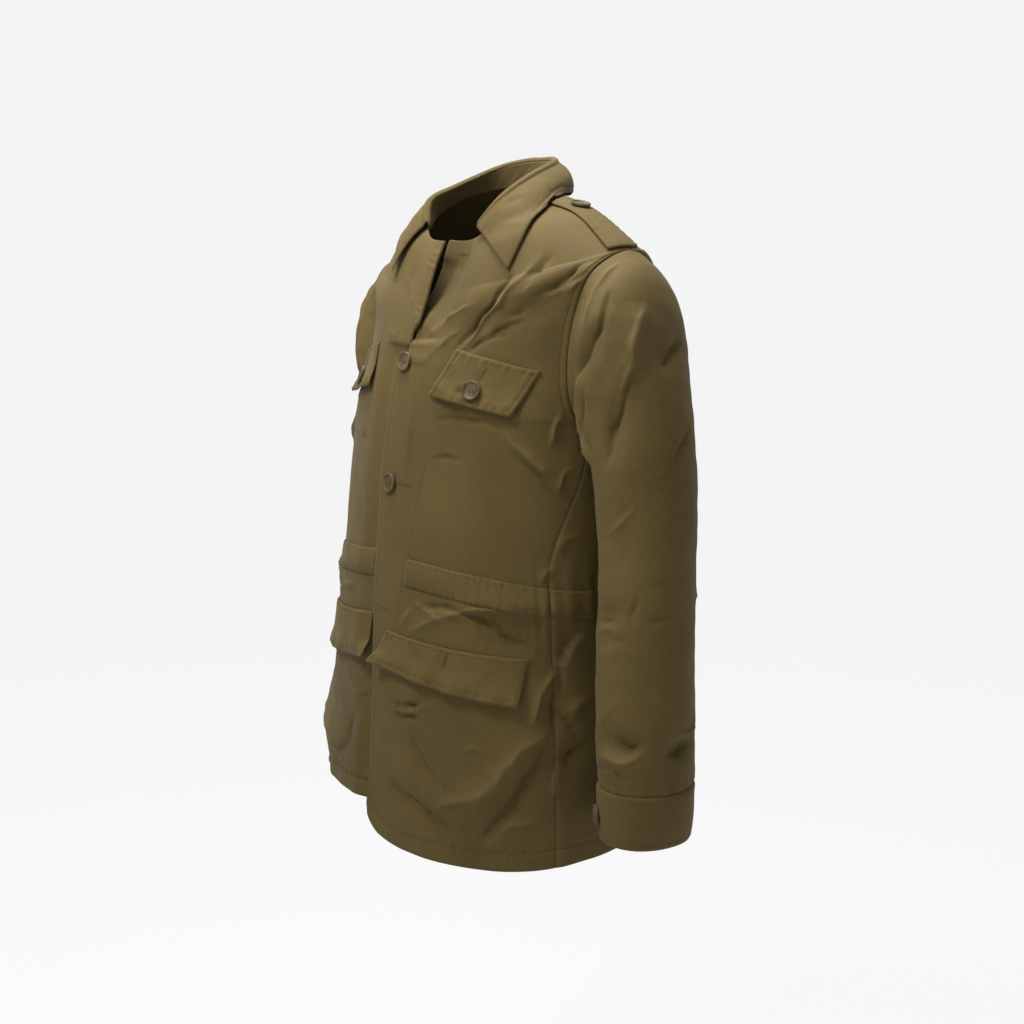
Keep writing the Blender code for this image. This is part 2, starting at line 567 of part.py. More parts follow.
def button(name, sheet, i, j, look):
    """A disc with a raised rim, its back a gap above the sheet at this place."""
    profile = (
        (0.60, 0.0022), (0.74, 0.0034), (0.90, 0.0036), (1.00, 0.0024), (1.00, 0.0010), (0.88, 0.0),
    )
    i, j = np.array([float(i)]), np.array([float(j)])
    centre = at_place(sheet, i, j)[0]
    along = at_place(sheet, i, j + 0.4)[0] - at_place(sheet, i, j - 0.4)[0]
    rise = at_place(sheet, i + 0.4, j)[0] - at_place(sheet, i - 0.4, j)[0]
    normal = unit(np.cross(along, rise))
    side = unit(np.cross(normal, np.array([0, 0, 1.0])))
    up = np.cross(side, normal)
    ii, jj = np.meshgrid(np.arange(-2, 2.01, 0.1) + i, np.arange(-2, 2.01, 0.1) + j, indexing="ij")
    ii, jj = np.clip(ii, 0, sheet.shape[0] - 1), np.clip(jj, 0, sheet.shape[1] - 1)
    around = at_place(sheet, ii, jj).reshape(-1, 3) - centre
    above = around @ normal
    close = np.linalg.norm(around - above[:, None] * normal, axis=1) < BUTTON_RADIUS
    base = centre + normal * (above[close].max() + LAY_GAP / 2)
    points = [base + normal * 0.0020]
    for radius, height in profile:
        for k in range(BUTTON_SIDES):
            turn = 2 * pi * k / BUTTON_SIDES
            out = side * cos(turn) + up * sin(turn)
            points.append(base + out * radius * BUTTON_RADIUS + normal * height)
    points.append(base)
    faces = []
    ring = BUTTON_SIDES
    for k in range(ring):
        n = (k + 1) % ring
        faces.append((0, 1 + n, 1 + k))
        for r in range(len(profile) - 1):
            a, b = 1 + r * ring, 1 + (r + 1) * ring
            faces.append((a + k, a + n, b + n, b + k))
        low = 1 + (len(profile) - 1) * ring
        faces.append((low + k, low + n, len(points) - 1))
    first, second, third = (points[v] for v in faces[0])
    if np.cross(second - first, third - first) @ normal < 0:
        faces = [face[::-1] for face in faces]
    add_object(name, points, faces, look)


# ---------------------------------------------------------------- building
cloth = material("olive_cloth", OLIVE, 0.72)
horn = material("brown_horn_plastic", BUTTON_BROWN, 0.38)
for existing in list(bpy.data.objects):
    bpy.data.objects.remove(existing, do_unlink=True)

levels = body_levels()
fronts = {side: front_sheet(levels, FRONT_STEPS, side) for side in ("left", "right")}
back = back_sheet(levels, BACK_STEPS)
front_normals = {side: normals_of(sheet) for side, sheet in fronts.items()}
back_normals = normals_of(back)
open_rows = np.arange(len(levels))
sewn = (open_rows <= LOW_STEPS) | (open_rows >= LOW_STEPS + ARM_STEPS)
for side, front_column, back_column in (("left", -1, 0), ("right", 0, -1)):
    shared = unit(front_normals[side][sewn, front_column] + back_normals[sewn, back_column])
    front_normals[side][sewn, front_column] = shared
    back_normals[sewn, back_column] = shared

samples = np.concatenate([sheet.reshape(-1, 3) for sheet in (*fronts.values(), back)])
sample_normals = np.concatenate(
    [sheet.reshape(-1, 3) for sheet in (*front_normals.values(), back_normals)]
)
loop = armhole(np.linspace(0, 10, 97))
both_loops = np.concatenate([loop, slope(mirrored(loop))])


def from_armhole(points):
    """How far each point is from the nearer armhole."""
    return np.linalg.norm(points[..., None, :] - both_loops, axis=-1).min(-1)


def sleeve_inside(sheet, normals, thick):
    """The inner side of a sleeve: along the normals, but at the armhole towards its middle, so
    that it stays clear of the body's wall there."""
    inner = sheet - normals * thick
    inner[0] = sheet[0] + unit(sheet[0, :-1].mean(0) - sheet[0]) * thick
    return inner


def fold_body(sheet, normals):
    plain = sheet
    _, height = folded(sheet, normals, BODY_FOLDS, samples, sample_normals)
    calm = ramp(from_armhole(plain), 0.0, 0.020)
    return plain + normals * (height * calm)[..., None]


def seam_back(sheet, column, rows):
    """Draws one column of a sheet back from the seam by half the gap."""
    edge = sheet[rows, column]
    towards = unit(sheet[rows, column - 1 if column == -1 else column + 1] - edge)
    sheet[rows, column] = edge + towards * SEAM_GAP / 2


for side in fronts:
    fronts[side] = fold_body(fronts[side], front_normals[side])
back = fold_body(back, back_normals)
for side, front_column, back_column in (("left", -1, 0), ("right", 0, -1)):
    seam_back(fronts[side], front_column, sewn)
    seam_back(back, back_column, sewn)
    name = "front_" + side
    wall(name, fronts[side], fronts[side] - front_normals[side] * BODY_WALL, cloth)
wall("back", back, back - back_normals * BODY_WALL, cloth)

# sleeves and cuffs
for side in ("left", "right"):
    folds = LEFT_SLEEVE_FOLDS if side == "left" else RIGHT_SLEEVE_FOLDS
    for name, sheet, thick in (
        ("sleeve_", sleeve_sheet(SLEEVE_RINGS, SLEEVE_SIDES, side), SLEEVE_WALL),
        ("cuff_", cuff_sheet(CUFF_RINGS, SLEEVE_SIDES, side), SLEEVE_WALL + 0.0006),
    ):
        normals = normals_of(sheet, tube=True)
        if name == "sleeve_":
            _, height = folded(sheet, normals, folds, sheet.reshape(-1, 3), normals.reshape(-1, 3))
            rows = np.linspace(0, 1, len(sheet))[:, None]
            sheet = sheet + normals * (height * ramp(rows, 0, 0.12) * (1 - ramp(rows, 0.94, 1)))[..., None]
        inner = sleeve_inside(sheet, normals, thick) if name == "sleeve_" else sheet - normals * thick
        wall(name + side, sheet, inner, cloth, tube=True)
        if name == "cuff_":
            k = int(SLEEVE_SIDES * 0.36) if side == "left" else int(SLEEVE_SIDES * 0.64)
            button("button_cuff_" + side, sheet, 1, k, horn)

# flaps on the fronts, and their buttons
for name, x0, z0, x1, z1, x2, z2, x3, z3, belly in FLAPS:
    side = name.split("_")[1]
    wide, deep = FLAP_STEPS
    u = np.linspace(0, 1, wide + 1)[None, :]
    v = np.linspace(0, 1, deep + 1)[:, None]
    x = (x0 * (1 - u) + x1 * u) * (1 - v) + (x2 * (1 - u) + x3 * u) * v
    z = (z0 * (1 - u) + z1 * u) * (1 - v) + (z2 * (1 - u) + z3 * u) * v
    if side == "right":
        x = -x
    i, j = find_place(fronts[side], x, z)
    ground = at_place(fronts[side], i, j)
    normals = unit(at_place(front_normals[side], i, j))
    ground = ground + normals * (belly * ramp(v, 0.0, 1.3) + 0 * u)[..., None]
    if side == "right":
        ground, normals = ground[:, ::-1], normals[:, ::-1]
    ground, normals = ground[::-1], normals[::-1]
    layer("flap_" + name, ground, normals, LAY_GAP, FLAP_WALL, cloth)
    if name.startswith("chest"):
        across = FLAP_BUTTON[0] if side == "left" else 1 - FLAP_BUTTON[0]
        top = ground + normals * (LAY_GAP + FLAP_WALL)
        button("button_" + name, top, deep * (1 - FLAP_BUTTON[1]), wide * across, horn)

# fastened buttons of the front
for name, height in FRONT_BUTTONS:
    i, j = find_place(fronts["left"], np.array([0.0]), np.array([height]))
    button("button_" + name, fronts["left"], i[0], j[0], horn)

# the drawcord channel round the waist
low, high = (level / ARMPIT * LOW_STEPS for level in CHANNEL_LEVELS)
i = np.linspace(low, high, 4)[:, None]
for name, sheet, normals in (
    ("channel_front_left", fronts["left"], front_normals["left"]),
    ("channel_front_right", fronts["right"], front_normals["right"]),
    ("channel_back", back, back_normals),
):
    columns = np.arange(sheet.shape[1]).astype(float)
    if name != "channel_back":
        row = int(round((low + high) / 2))
        side = name.split("_")[-1]
        across = sheet[row, :, 0] if side == "left" else -sheet[row, ::-1, 0]
        start = np.interp(CHANNEL_START[side], across, columns)
        kept = np.concatenate([[start], columns[columns > start + 0.3]])
        columns = kept if side == "left" else columns[-1] - kept[::-1]
    jj = columns[None, :] + 0 * i
    ii = i + 0 * jj
    layer(name, at_place(sheet, ii, jj), unit(at_place(normals, ii, jj)), LAY_GAP, CHANNEL_WALL, cloth)

# shoulder straps, each over its shoulder seam and under the collar's leaf at its neck end
ahead, beside = STRAP_STEPS
strap_tops = []
for side in ("left", "right"):
    rows = []
    for level, near, far in through([row[1:] for row in STRAP_ROWS], np.linspace(0, 1, ahead + 1)):
        front_line, back_line = half_lines(level)
        whole = np.concatenate([front_line, back_line[1:]])
        seam = lengths(front_line)[-1]
        rows.append(at_length(whole, seam + np.linspace(near, far, beside + 1)))
    strap = np.array(rows)
    if side == "right":
        strap = slope(mirrored(strap)[:, ::-1])
    normals = normals_of(strap)
    layer("shoulder_strap_" + side, strap, normals, STRAP_GAP, STRAP_WALL, cloth)
    top = strap + normals * (STRAP_GAP + STRAP_WALL)
    strap_tops.append((top, normals))
    button("button_strap_" + side, top, STRAP_BUTTON * ahead, beside / 2, horn)

# collar: the stand rises from the neck, and the leaf turns over it and lies outwards
neck, below = (np.concatenate([a, b[1:]]) for a, b in (half_lines(NECK), half_lines(NECK - 0.15)))
halves = []
for side in ("left", "right"):
    rows = [row[1:] for row in COLLAR_ROWS[side]]
    half = through(rows, np.linspace(0, len(rows) - 1, COLLAR_STEPS + 1))
    places = half[:, 0] * lengths(neck)[-1]
    sewn_to = at_length(neck, places)
    rising = unit(sewn_to - at_length(below, half[:, 0] * lengths(below)[-1]))
    onward = unit(at_length(neck, places + 0.002) - at_length(neck, places - 0.002))
    facing = unit(np.cross(onward, rising))
    foot = sewn_to + rising * (SEAM_GAP + 0.0026) - facing * (COLLAR_WALL + 0.0008)
    halves.append(np.concatenate([foot, facing, half[:, 1:]], 1))
half = np.concatenate([halves[0], (halves[1] * np.array([-1, 1, 1] * 4 + [1.0]))[-2::-1]])
foot, facing, fold, rim, bulge = half[:, 0:3], half[:, 3:6], half[:, 6:9], half[:, 9:12], half[:, 12:]
turning = np.gradient(fold, axis=0)
outward = unit(np.stack([turning[:, 1], -turning[:, 0], 0 * turning[:, 0]], 1))
up = np.array([0, 0, 1.0])
stand_top = fold - outward * FOLD_RADIUS - up * FOLD_RADIUS
stand = np.array([foot + (stand_top - foot) * share for share in np.linspace(0, 1, 4)])
stand[-1] -= unit(stand_top - foot) * SEAM_GAP
leaf = [stand_top]
for turn in (0.25, 0.5, 0.75, 1.0):
    leaf.append(fold - up * FOLD_RADIUS + (up * sin(turn * pi) - outward * cos(turn * pi)) * FOLD_RADIUS)
for share in (0.25, 0.5, 0.75, 1.0):
    leaf.append(leaf[4] + (rim - leaf[4]) * share + unit(outward + up * 0.4) * bulge * sin(share * pi))
leaf = np.array(leaf)
under = [*zip(fronts.values(), front_normals.values()), (back, back_normals), *strap_tops]
ground, ground_normals = (np.concatenate([fine(sheets[k]) for sheets in under]) for k in (0, 1))
for row in range(4, len(leaf)):
    nearest = np.linalg.norm(leaf[row][:, None] - ground, axis=-1).argmin(1)
    away = ((leaf[row] - ground[nearest]) * ground_normals[nearest]).sum(1)
    lift = np.maximum(0.0, COLLAR_WALL + LEAF_GAP - away)
    lift = np.maximum(lift, np.convolve(np.pad(lift, 1, mode="edge"), [0.3, 0.4, 0.3], "valid"))
    leaf[row] += ground_normals[nearest] * lift[:, None]
behind_stand, behind_leaf = normals_of(stand), normals_of(leaf)
behind_stand[0] = facing
behind_leaf[0] = behind_stand[-1]
wall("collar_stand", stand, stand + behind_stand * COLLAR_WALL, cloth)
wall("collar_leaf", leaf, leaf + behind_leaf * COLLAR_WALL, cloth)
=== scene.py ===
# %% [markdown]
# # Padded bush jacket, in worn form
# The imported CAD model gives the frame. Every cloth node is rebuilt here as a fine shell from the same
# sizes and formulas, with its creases, puckers and seams, then stitched, buttoned and dyed.
# Metres, +Z up; the wearer faces -Y and the wearer's left is +X.

# %% The frame
import json
from math import cos, pi, radians, sin

import bmesh
import bpy
import numpy as np
from mathutils import Matrix, Vector
from mathutils.bvhtree import BVHTree
from mathutils.kdtree import KDTree

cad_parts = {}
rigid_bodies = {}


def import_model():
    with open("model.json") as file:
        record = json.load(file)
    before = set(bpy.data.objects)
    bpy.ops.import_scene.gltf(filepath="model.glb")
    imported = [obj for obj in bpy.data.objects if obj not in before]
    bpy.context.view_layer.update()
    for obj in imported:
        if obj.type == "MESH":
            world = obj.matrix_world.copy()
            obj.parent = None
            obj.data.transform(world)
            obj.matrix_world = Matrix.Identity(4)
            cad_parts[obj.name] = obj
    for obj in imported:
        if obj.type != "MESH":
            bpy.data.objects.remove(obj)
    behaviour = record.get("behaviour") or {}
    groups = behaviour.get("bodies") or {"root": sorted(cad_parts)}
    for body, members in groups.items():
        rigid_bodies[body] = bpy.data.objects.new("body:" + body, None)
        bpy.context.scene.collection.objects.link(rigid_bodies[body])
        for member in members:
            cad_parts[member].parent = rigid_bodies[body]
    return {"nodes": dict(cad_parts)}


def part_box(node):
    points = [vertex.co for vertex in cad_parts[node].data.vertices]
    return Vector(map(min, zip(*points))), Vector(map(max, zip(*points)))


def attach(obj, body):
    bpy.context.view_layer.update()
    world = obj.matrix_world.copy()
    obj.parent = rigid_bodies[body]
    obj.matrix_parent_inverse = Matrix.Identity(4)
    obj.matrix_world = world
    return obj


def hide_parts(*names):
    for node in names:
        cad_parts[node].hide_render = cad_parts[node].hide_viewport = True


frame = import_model()


def placed(name, data):
    """An object with this data, linked into the scene."""
    made = bpy.data.objects.new(name, data)
    bpy.context.scene.collection.objects.link(made)
    return made


def mesh_from(work, name):
    """A mesh with what a bmesh holds."""
    mesh = bpy.data.meshes.new(name)
    work.to_mesh(mesh)
    work.free()
    return mesh


print("frame:", len(frame["nodes"]), "nodes")

# %% [markdown]
# ## Sizes
# The same tables as the solids: walls, laps, the body's half rings, armholes, sleeves, collar and flaps.
# The rows of stitches and the heights of the small creases are this scene's own.

# %% Driving sizes
BODY_WALL = 0.0040  # outer cloth, wadding and lining together
SLEEVE_WALL = 0.0036
COLLAR_WALL = 0.0026
FLAP_WALL = 0.0024
STRAP_WALL = 0.0026
CHANNEL_WALL = 0.0016
SEAM_GAP = 0.0004  # between two pieces where they are sewn together
LAY_GAP = 0.0006  # under a piece that lies on another

# How far off its edge each row of stitches runs
HEM_ROW, EDGE_ROW, FLAP_ROW, STRAP_ROW, CHANNEL_ROW = 0.020, 0.006, 0.006, 0.0055, 0.003
ARMHOLE_ROWS = (0.0030, 0.0085)
CUFF_ROWS = (("low", 0.0050), ("high", 0.0060))
PRESSED = 0.85  # how sharp the small creases are: 0 is a soft fold, 1 a pressed one
BODY_GAIN, SLEEVE_GAIN = 1.6, 1.5  # how much the tables' small creases are raised

OVERLAP = 0.020  # each front passes the centre line by this much, below the crossing
CROSSING_Z = -0.160  # here the two front edges change places, just above the first button
CROSSING_TURN = 0.007  # within this height of it the lower front has moved in fully
CROSSING_LAP = (0.011, 0.024)  # and between these it comes to lie under the other
UNDER_STEP = 0.0052  # how far the front that lies beneath is moved in
OPEN_STEP = 0.0110  # the same near the neck, where the left front turns inwards
HEM_STEP = 0.0040  # and this much more at the hem, where the two hang to different depths
OPEN_LAP = {"right": 0.008, "left": 0.014}  # how far each passes the centre near the neck
CHANNEL_LEVELS = (2.84, 3.16)  # the drawcord channel's lower and upper edge, as body levels
CHANNEL_START = {"left": 0.037, "right": 0.025}  # from the centre line
BUTTON_RADIUS = 0.0108
print("body wall:", BODY_WALL, "m")

# %% The body's half rings
# One row for each height of the body, from the hem up. The centre front, the side and the centre
# back are points of the ring; full is how round the ring is between them (0.55 is an ellipse).
BODY_ROWS = (
    # name     front_y front_z  side_x side_y  side_z   back_y  back_z  front_full back_full
    ("hem",    -0.166, -0.706,  0.219,  0.004, -0.704,  0.146, -0.716,  0.66, 0.58),
    ("hip",    -0.160, -0.606,  0.215,  0.004, -0.612,  0.138, -0.618,  0.64, 0.58),
    ("thigh",  -0.155, -0.500,  0.209,  0.004, -0.520,  0.130, -0.520,  0.60, 0.58),
    ("waist",  -0.150, -0.405,  0.202,  0.001, -0.432,  0.121, -0.424,  0.54, 0.58),
    ("ribs",   -0.140, -0.310,  0.196, -0.008, -0.332,  0.126, -0.322,  0.50, 0.58),
    ("armpit", -0.128, -0.228,  0.189, -0.024, -0.238,  0.130, -0.226,  0.46, 0.58),
    ("blade",  -0.111, -0.160,  0.189, -0.024, -0.238,  0.128, -0.150,  0.44, 0.56),
    ("tip",    -0.090, -0.104,  0.211,  0.018, -0.056,  0.112, -0.066,  0.44, 0.50),
    ("yoke",   -0.078, -0.073,  0.144,  0.010, -0.020,  0.096, -0.020,  0.46, 0.50),
    ("neck",   -0.067, -0.051,  0.069,  0.002, -0.008,  0.078,  0.010,  0.56, 0.55),
)
BODY_COLUMNS = (
    "front_y", "front_z", "side_x", "side_y", "side_z", "back_y", "back_z", "front_full", "back_full",
)
ARMPIT, TIP, NECK = 5, 7, 9  # levels: the number of the row
LOW_STEPS, ARM_STEPS, TOP_STEPS = 190, 76, 56  # steps from hem to armpit, to tip, to neck
FRONT_STEPS, BACK_STEPS = 146, 116
SEAM_FORWARD = 0.25  # the side seam lies this share of the front forward of the side
HEM_DROP = {"left": -0.015, "right": 0.024}  # at the centre front
CORNER_LIFT = 0.010  # of the left front at its free edge

# The left armhole, from the shoulder tip down the front to the armpit and up the back to the tip.
ARMHOLE = (
    # name          x       y       z
    ("tip",         0.211,  0.018, -0.056),
    ("front_high",  0.203, -0.027, -0.077),
    ("front_mid",   0.190, -0.040, -0.120),
    ("front_low",   0.184, -0.045, -0.170),
    ("front_under", 0.186, -0.042, -0.214),
    ("armpit",      0.189, -0.024, -0.238),
    ("back_under",  0.188,  0.022, -0.226),
    ("back_low",    0.186,  0.062, -0.180),
    ("back_mid",    0.192,  0.077, -0.126),
    ("back_high",   0.204,  0.061, -0.079),
)
print("half rings:", len(BODY_ROWS))

# %% The left sleeve's rings
# outer and inner are the points furthest from and nearest to the body; the ring is an oval
# through both, and fore and aft are how far it reaches to the front and the back.
SLEEVE_ROWS = (
    # name      outer_x outer_z  inner_x inner_z  fore_y  aft_y  swing
    ("cap",     0.240, -0.075,  0.199, -0.252, -0.056,  0.078),
    ("head",    0.261, -0.107,  0.204, -0.272, -0.058,  0.076),
    ("upper",   0.278, -0.158,  0.209, -0.304, -0.057,  0.068),
    ("biceps",  0.300, -0.232,  0.212, -0.344, -0.056,  0.057),
    ("above",   0.313, -0.315,  0.214, -0.390, -0.054,  0.052),
    ("elbow",   0.318, -0.405,  0.216, -0.440, -0.057,  0.047),
    ("forearm", 0.323, -0.490,  0.222, -0.510, -0.064,  0.042),
    ("wrist",   0.328, -0.560,  0.230, -0.567, -0.070,  0.038),
    ("end",     0.330, -0.608,  0.236, -0.608, -0.071,  0.035),
)
RIGHT_SLEEVE_ROWS = (
    # name      outer_x outer_z  inner_x inner_z  fore_y  aft_y
    ("cap",     0.238, -0.082,  0.200, -0.252, -0.048,  0.084),
    ("head",    0.254, -0.114,  0.202, -0.272, -0.026,  0.108),
    ("upper",   0.268, -0.164,  0.199, -0.304,  0.002,  0.128),
    ("biceps",  0.280, -0.236,  0.193, -0.344,  0.026,  0.140),
    ("above",   0.287, -0.315,  0.190, -0.390,  0.034,  0.140),
    ("elbow",   0.294, -0.405,  0.192, -0.440,  0.031,  0.135),
    ("forearm", 0.300, -0.490,  0.200, -0.510,  0.024,  0.130),
    ("wrist",   0.306, -0.560,  0.208, -0.567,  0.018,  0.126),
    ("end",     0.308, -0.608,  0.214, -0.608,  0.017,  0.123),
)
CUFF = (  # below the sleeve's end: how much wider than it, and how far down
    ("seam",    0.0020, -0.0005),
    ("middle",  0.0010, -0.0320),
    ("edge",   -0.0015, -0.0590),
)
RING_COLUMNS = ("outer_x", "outer_z", "inner_x", "inner_z", "fore_y", "aft_y")
SLEEVE_SIDES = 108
SLEEVE_RINGS, CUFF_RINGS = 210, 22
RIGHT_SHOULDER = (0.020, -0.021)  # the right shoulder sits further back and lower than the left
print("sleeve rings:", len(SLEEVE_ROWS))

# %% The collar's sections
# One row for each section from the front end to the centre back, and a table for each side, for
# the right leaf hangs steeper: round is where it stands on the half neckline, as a share of it,
# fold is its top, edge its outer rim, and bulge how far the leaf arches between the two.
COLLAR_ROWS = {
    "left": (
        # name    round  fold_x  fold_y  fold_z  edge_x  edge_y  edge_z  bulge
        ("point",  0.24,  0.047, -0.054, -0.029,  0.113, -0.061, -0.080, 0.003),
        ("front",  0.38,  0.065, -0.038, -0.001,  0.113, -0.028, -0.040, 0.005),
        ("side",   0.54,  0.068,  0.000,  0.022,  0.099,  0.010, -0.009, 0.006),
        ("nape",   0.78,  0.050,  0.052,  0.038,  0.068,  0.064,  0.003, 0.006),
        ("behind", 0.91,  0.024,  0.076,  0.043,  0.036,  0.093,  0.000, 0.006),
        ("back",   1.00,  0.000,  0.082,  0.043,  0.000,  0.101,  0.000, 0.006),
    ),
    "right": (
        # name    round  fold_x  fold_y  fold_z  edge_x  edge_y  edge_z  bulge
        ("point",  0.24,  0.046, -0.052, -0.029,  0.070, -0.086, -0.084, 0.003),
        ("front",  0.38,  0.061, -0.036, -0.003,  0.092, -0.048, -0.050, 0.005),
        ("side",   0.54,  0.061,  0.002,  0.013,  0.090,  0.006, -0.020, 0.006),
        ("nape",   0.78,  0.047,  0.053,  0.034,  0.066,  0.064, -0.001, 0.006),
        ("behind", 0.91,  0.023,  0.076,  0.042,  0.035,  0.093,  0.000, 0.006),
        ("back",   1.00,  0.000,  0.082,  0.043,  0.000,  0.101,  0.000, 0.006),
    ),
}
COLLAR_STEPS = 76  # from the front end to the centre back
STAND_STEPS, TURN_STEPS, LEAF_STEPS = 10, 10, 26
CHANNEL_STEPS = 9
FOLD_RADIUS = 0.0044
LEAF_GAP = 0.0030
print("collar sections:", len(COLLAR_ROWS))

# %% What lies on the fronts
# Corners as x and z on the left front, upper then lower, the one nearest the centre first.
FLAPS = (
    # name          upper x, z     upper far x, z  lower x, z     lower far x, z   belly
    ("chest_left",  0.070, -0.162,  0.162, -0.182,  0.049, -0.213,  0.143, -0.230, 0.003),
    ("hip_left",    0.010, -0.475,  0.174, -0.486, -0.010, -0.514,  0.170, -0.537, 0.005),
    ("chest_right", 0.070, -0.164,  0.156, -0.184,  0.062, -0.212,  0.150, -0.230, 0.003),
    ("hip_right",   0.026, -0.462,  0.176, -0.478,  0.028, -0.514,  0.172, -0.532, 0.004),
)
FLAP_STEPS = (60, 22)
# near and far are how far a shoulder strap's front and back edges lie behind the shoulder seam
STRAP_ROWS = (
    # end      level  near    far
    ("sleeve", 7.05, -0.023, 0.020),
    ("neck",   8.66,  0.004, 0.038),
)
STRAP_STEPS = (48, 16)
STRAP_GAP = 0.0010
print("flaps:", [row[0] for row in FLAPS])

# %% The largest folds
# Each row is height width: points, all in millimetres. Height is how far a fold stands out (a
# trough is negative). Its line is laid on the surface, and its ends fade out.
def creases_from(table):
    """Reads such rows. The points come out in metres."""
    rows = []
    for row in table.strip().splitlines():
        sizes, line = row.split(":")
        tall, wide = map(float, sizes.split())
        rows.append((tall, wide, np.array([p.split() for p in line.split(",")], float) / 1000))
    return rows


BODY_FOLDS = creases_from("""
-5 14: 204 -13 -66, 178 -49 -90, 151 -64 -116, 125 -74 -126
-4 13: 118 -62 -82, 92 -87 -130, 71 -101 -162
3 12: 50 -78 -85, 20 -92 -122, 4 -106 -146
4 12: 132 -90 -246, 162 -73 -276, 184 -50 -308
4 12: 48 -150 -466, 107 -129 -438, 160 -91 -431, 199 -27 -443
-3.5 12: 120 -122 -442, 150 -105 -464, 178 -80 -476
5 19: 192 -72 -555, 169 -108 -602, 143 -130 -637, 85 -152 -662
-5 18: 196 -70 -580, 176 -103 -629, 146 -132 -690
-4 16: 20 -161 -640, 48 -160 -657, 120 -144 -688
-3.5 20: 50 -155 -570, 64 -155 -604, 100 -149 -636
-5 14: 198 -35 -450, 192 -57 -488, 193 -66 -533, 196 -69 -575
4 12: 200 -28 -456, 193 -58 -500, 178 -90 -555
-4 14: 209 -31 -575, 204 -52 -594, 198 -70 -625
-4 15: -190 10 -100, -150 -45 -124, -100 -80 -154
4 14: -140 -92 -256, -165 -70 -285, -185 -45 -320
4 14: -70 -142 -452, -130 -112 -440, -190 -50 -446
5 22: -198 -60 -560, -165 -110 -615, -95 -150 -650
-5 20: -204 -50 -590, -178 -100 -650, -135 -135 -700
-4 20: 178 70 -180, 125 110 -250, 55 125 -325
-4 18: -172 85 -200, -115 115 -262, -50 125 -320
4 16: 165 60 -400, 100 105 -378, 30 122 -384
5 24: 118 100 -440, 105 118 -590, 112 128 -770
-5 24: 45 120 -450, 40 136 -600, 48 143 -770
5 26: -95 110 -440, -80 128 -600, -86 138 -770
-5 22: -158 70 -450, -155 90 -600, -166 95 -770
""")
LEFT_SLEEVE_FOLDS = creases_from("""
-6 14: 240 -46 -125, 228 -55 -154, 206 -50 -184
5 14: 258 -10 -106, 268 -32 -160, 264 -50 -220
-5 13: 272 -34 -176, 266 -50 -220, 259 -56 -270
6 15: 216 -54 -180, 214 -48 -226, 230 -51 -276
-4 12: 272 50 -146, 279 14 -156, 286 -8 -172
-4 14: 224 -40 -420, 252 -55 -426, 296 -48 -415
-5 14: 262 -66 -546, 296 -64 -556, 318 -46 -551
4 12: 256 -66 -566, 283 -70 -580, 315 -52 -568
-6 14: 328 26 -558, 330 -4 -562, 326 -34 -566
""")
RIGHT_SLEEVE_FOLDS = creases_from("""
-5 14: -222 0 -130, -214 4 -170, -196 12 -200
5 14: -240 20 -120, -246 26 -180, -240 32 -240
-4 14: -196 50 -424, -226 34 -430, -268 44 -418
-5 14: -236 24 -552, -266 20 -560, -292 34 -554
4 13: -230 24 -574, -262 18 -586, -294 36 -576
-5 15: -300 100 -556, -306 70 -564, -298 40 -568
""")
print("large folds:", len(BODY_FOLDS), "on the body")

# %% [markdown]
# ## Curves and sheets
# The functions that turn the tables into grids of points, as in the solids' source.
# Cloth hangs in smooth bands between neck, armholes and hem. It could be subdivided from a coarse
# cage, but grids worked out from half rings keep the seams where the solids have them.

# %% Curves
def through(rows, at):
    """A smooth curve through evenly numbered rows, read at the numbers in at."""
    rows = np.asarray(rows, float)
    at = np.clip(np.asarray(at, float), 0, len(rows) - 1)
    first = np.minimum(at.astype(int), len(rows) - 2)
    t = (at - first)[..., None]
    slope = np.gradient(rows, axis=0)
    return (
        (2 * t**3 - 3 * t**2 + 1) * rows[first]
        + (t**3 - 2 * t**2 + t) * slope[first]
        + (3 * t**2 - 2 * t**3) * rows[first + 1]
        + (t**3 - t**2) * slope[first + 1]
    )


def ramp(x, start, end):
    """0 before start, 1 after end, smooth between."""
    t = np.clip((np.asarray(x, float) - start) / (end - start), 0, 1)
    return t * t * (3 - 2 * t)


def unit(v):
    return v / np.maximum(np.linalg.norm(v, axis=-1, keepdims=True), 1e-12)


def bezier(p0, p1, p2, p3):
    t = np.linspace(0, 1, 161)[:, None]
    return (1 - t) ** 3 * p0 + 3 * (1 - t) ** 2 * t * p1 + 3 * (1 - t) * t**2 * p2 + t**3 * p3


def lengths(line):
    return np.concatenate([[0], np.cumsum(np.linalg.norm(np.diff(line, axis=0), axis=1))])


def at_length(line, distance):
    """Points of a polyline at these distances from its start."""
    along = lengths(line)
    return np.stack([np.interp(distance, along, line[:, k]) for k in range(3)], -1)


def mirrored(points):
    return points * np.array([-1.0, 1.0, 1.0])


# %% The body's surface
def armhole(at):
    """Points of the left armhole: 0 is the tip, 5 the armpit and 10 the tip again."""
    loop = [row[1:] for row in ARMHOLE]
    return through(loop[-2:] + loop + loop[:3], np.mod(at, 10) + 2)


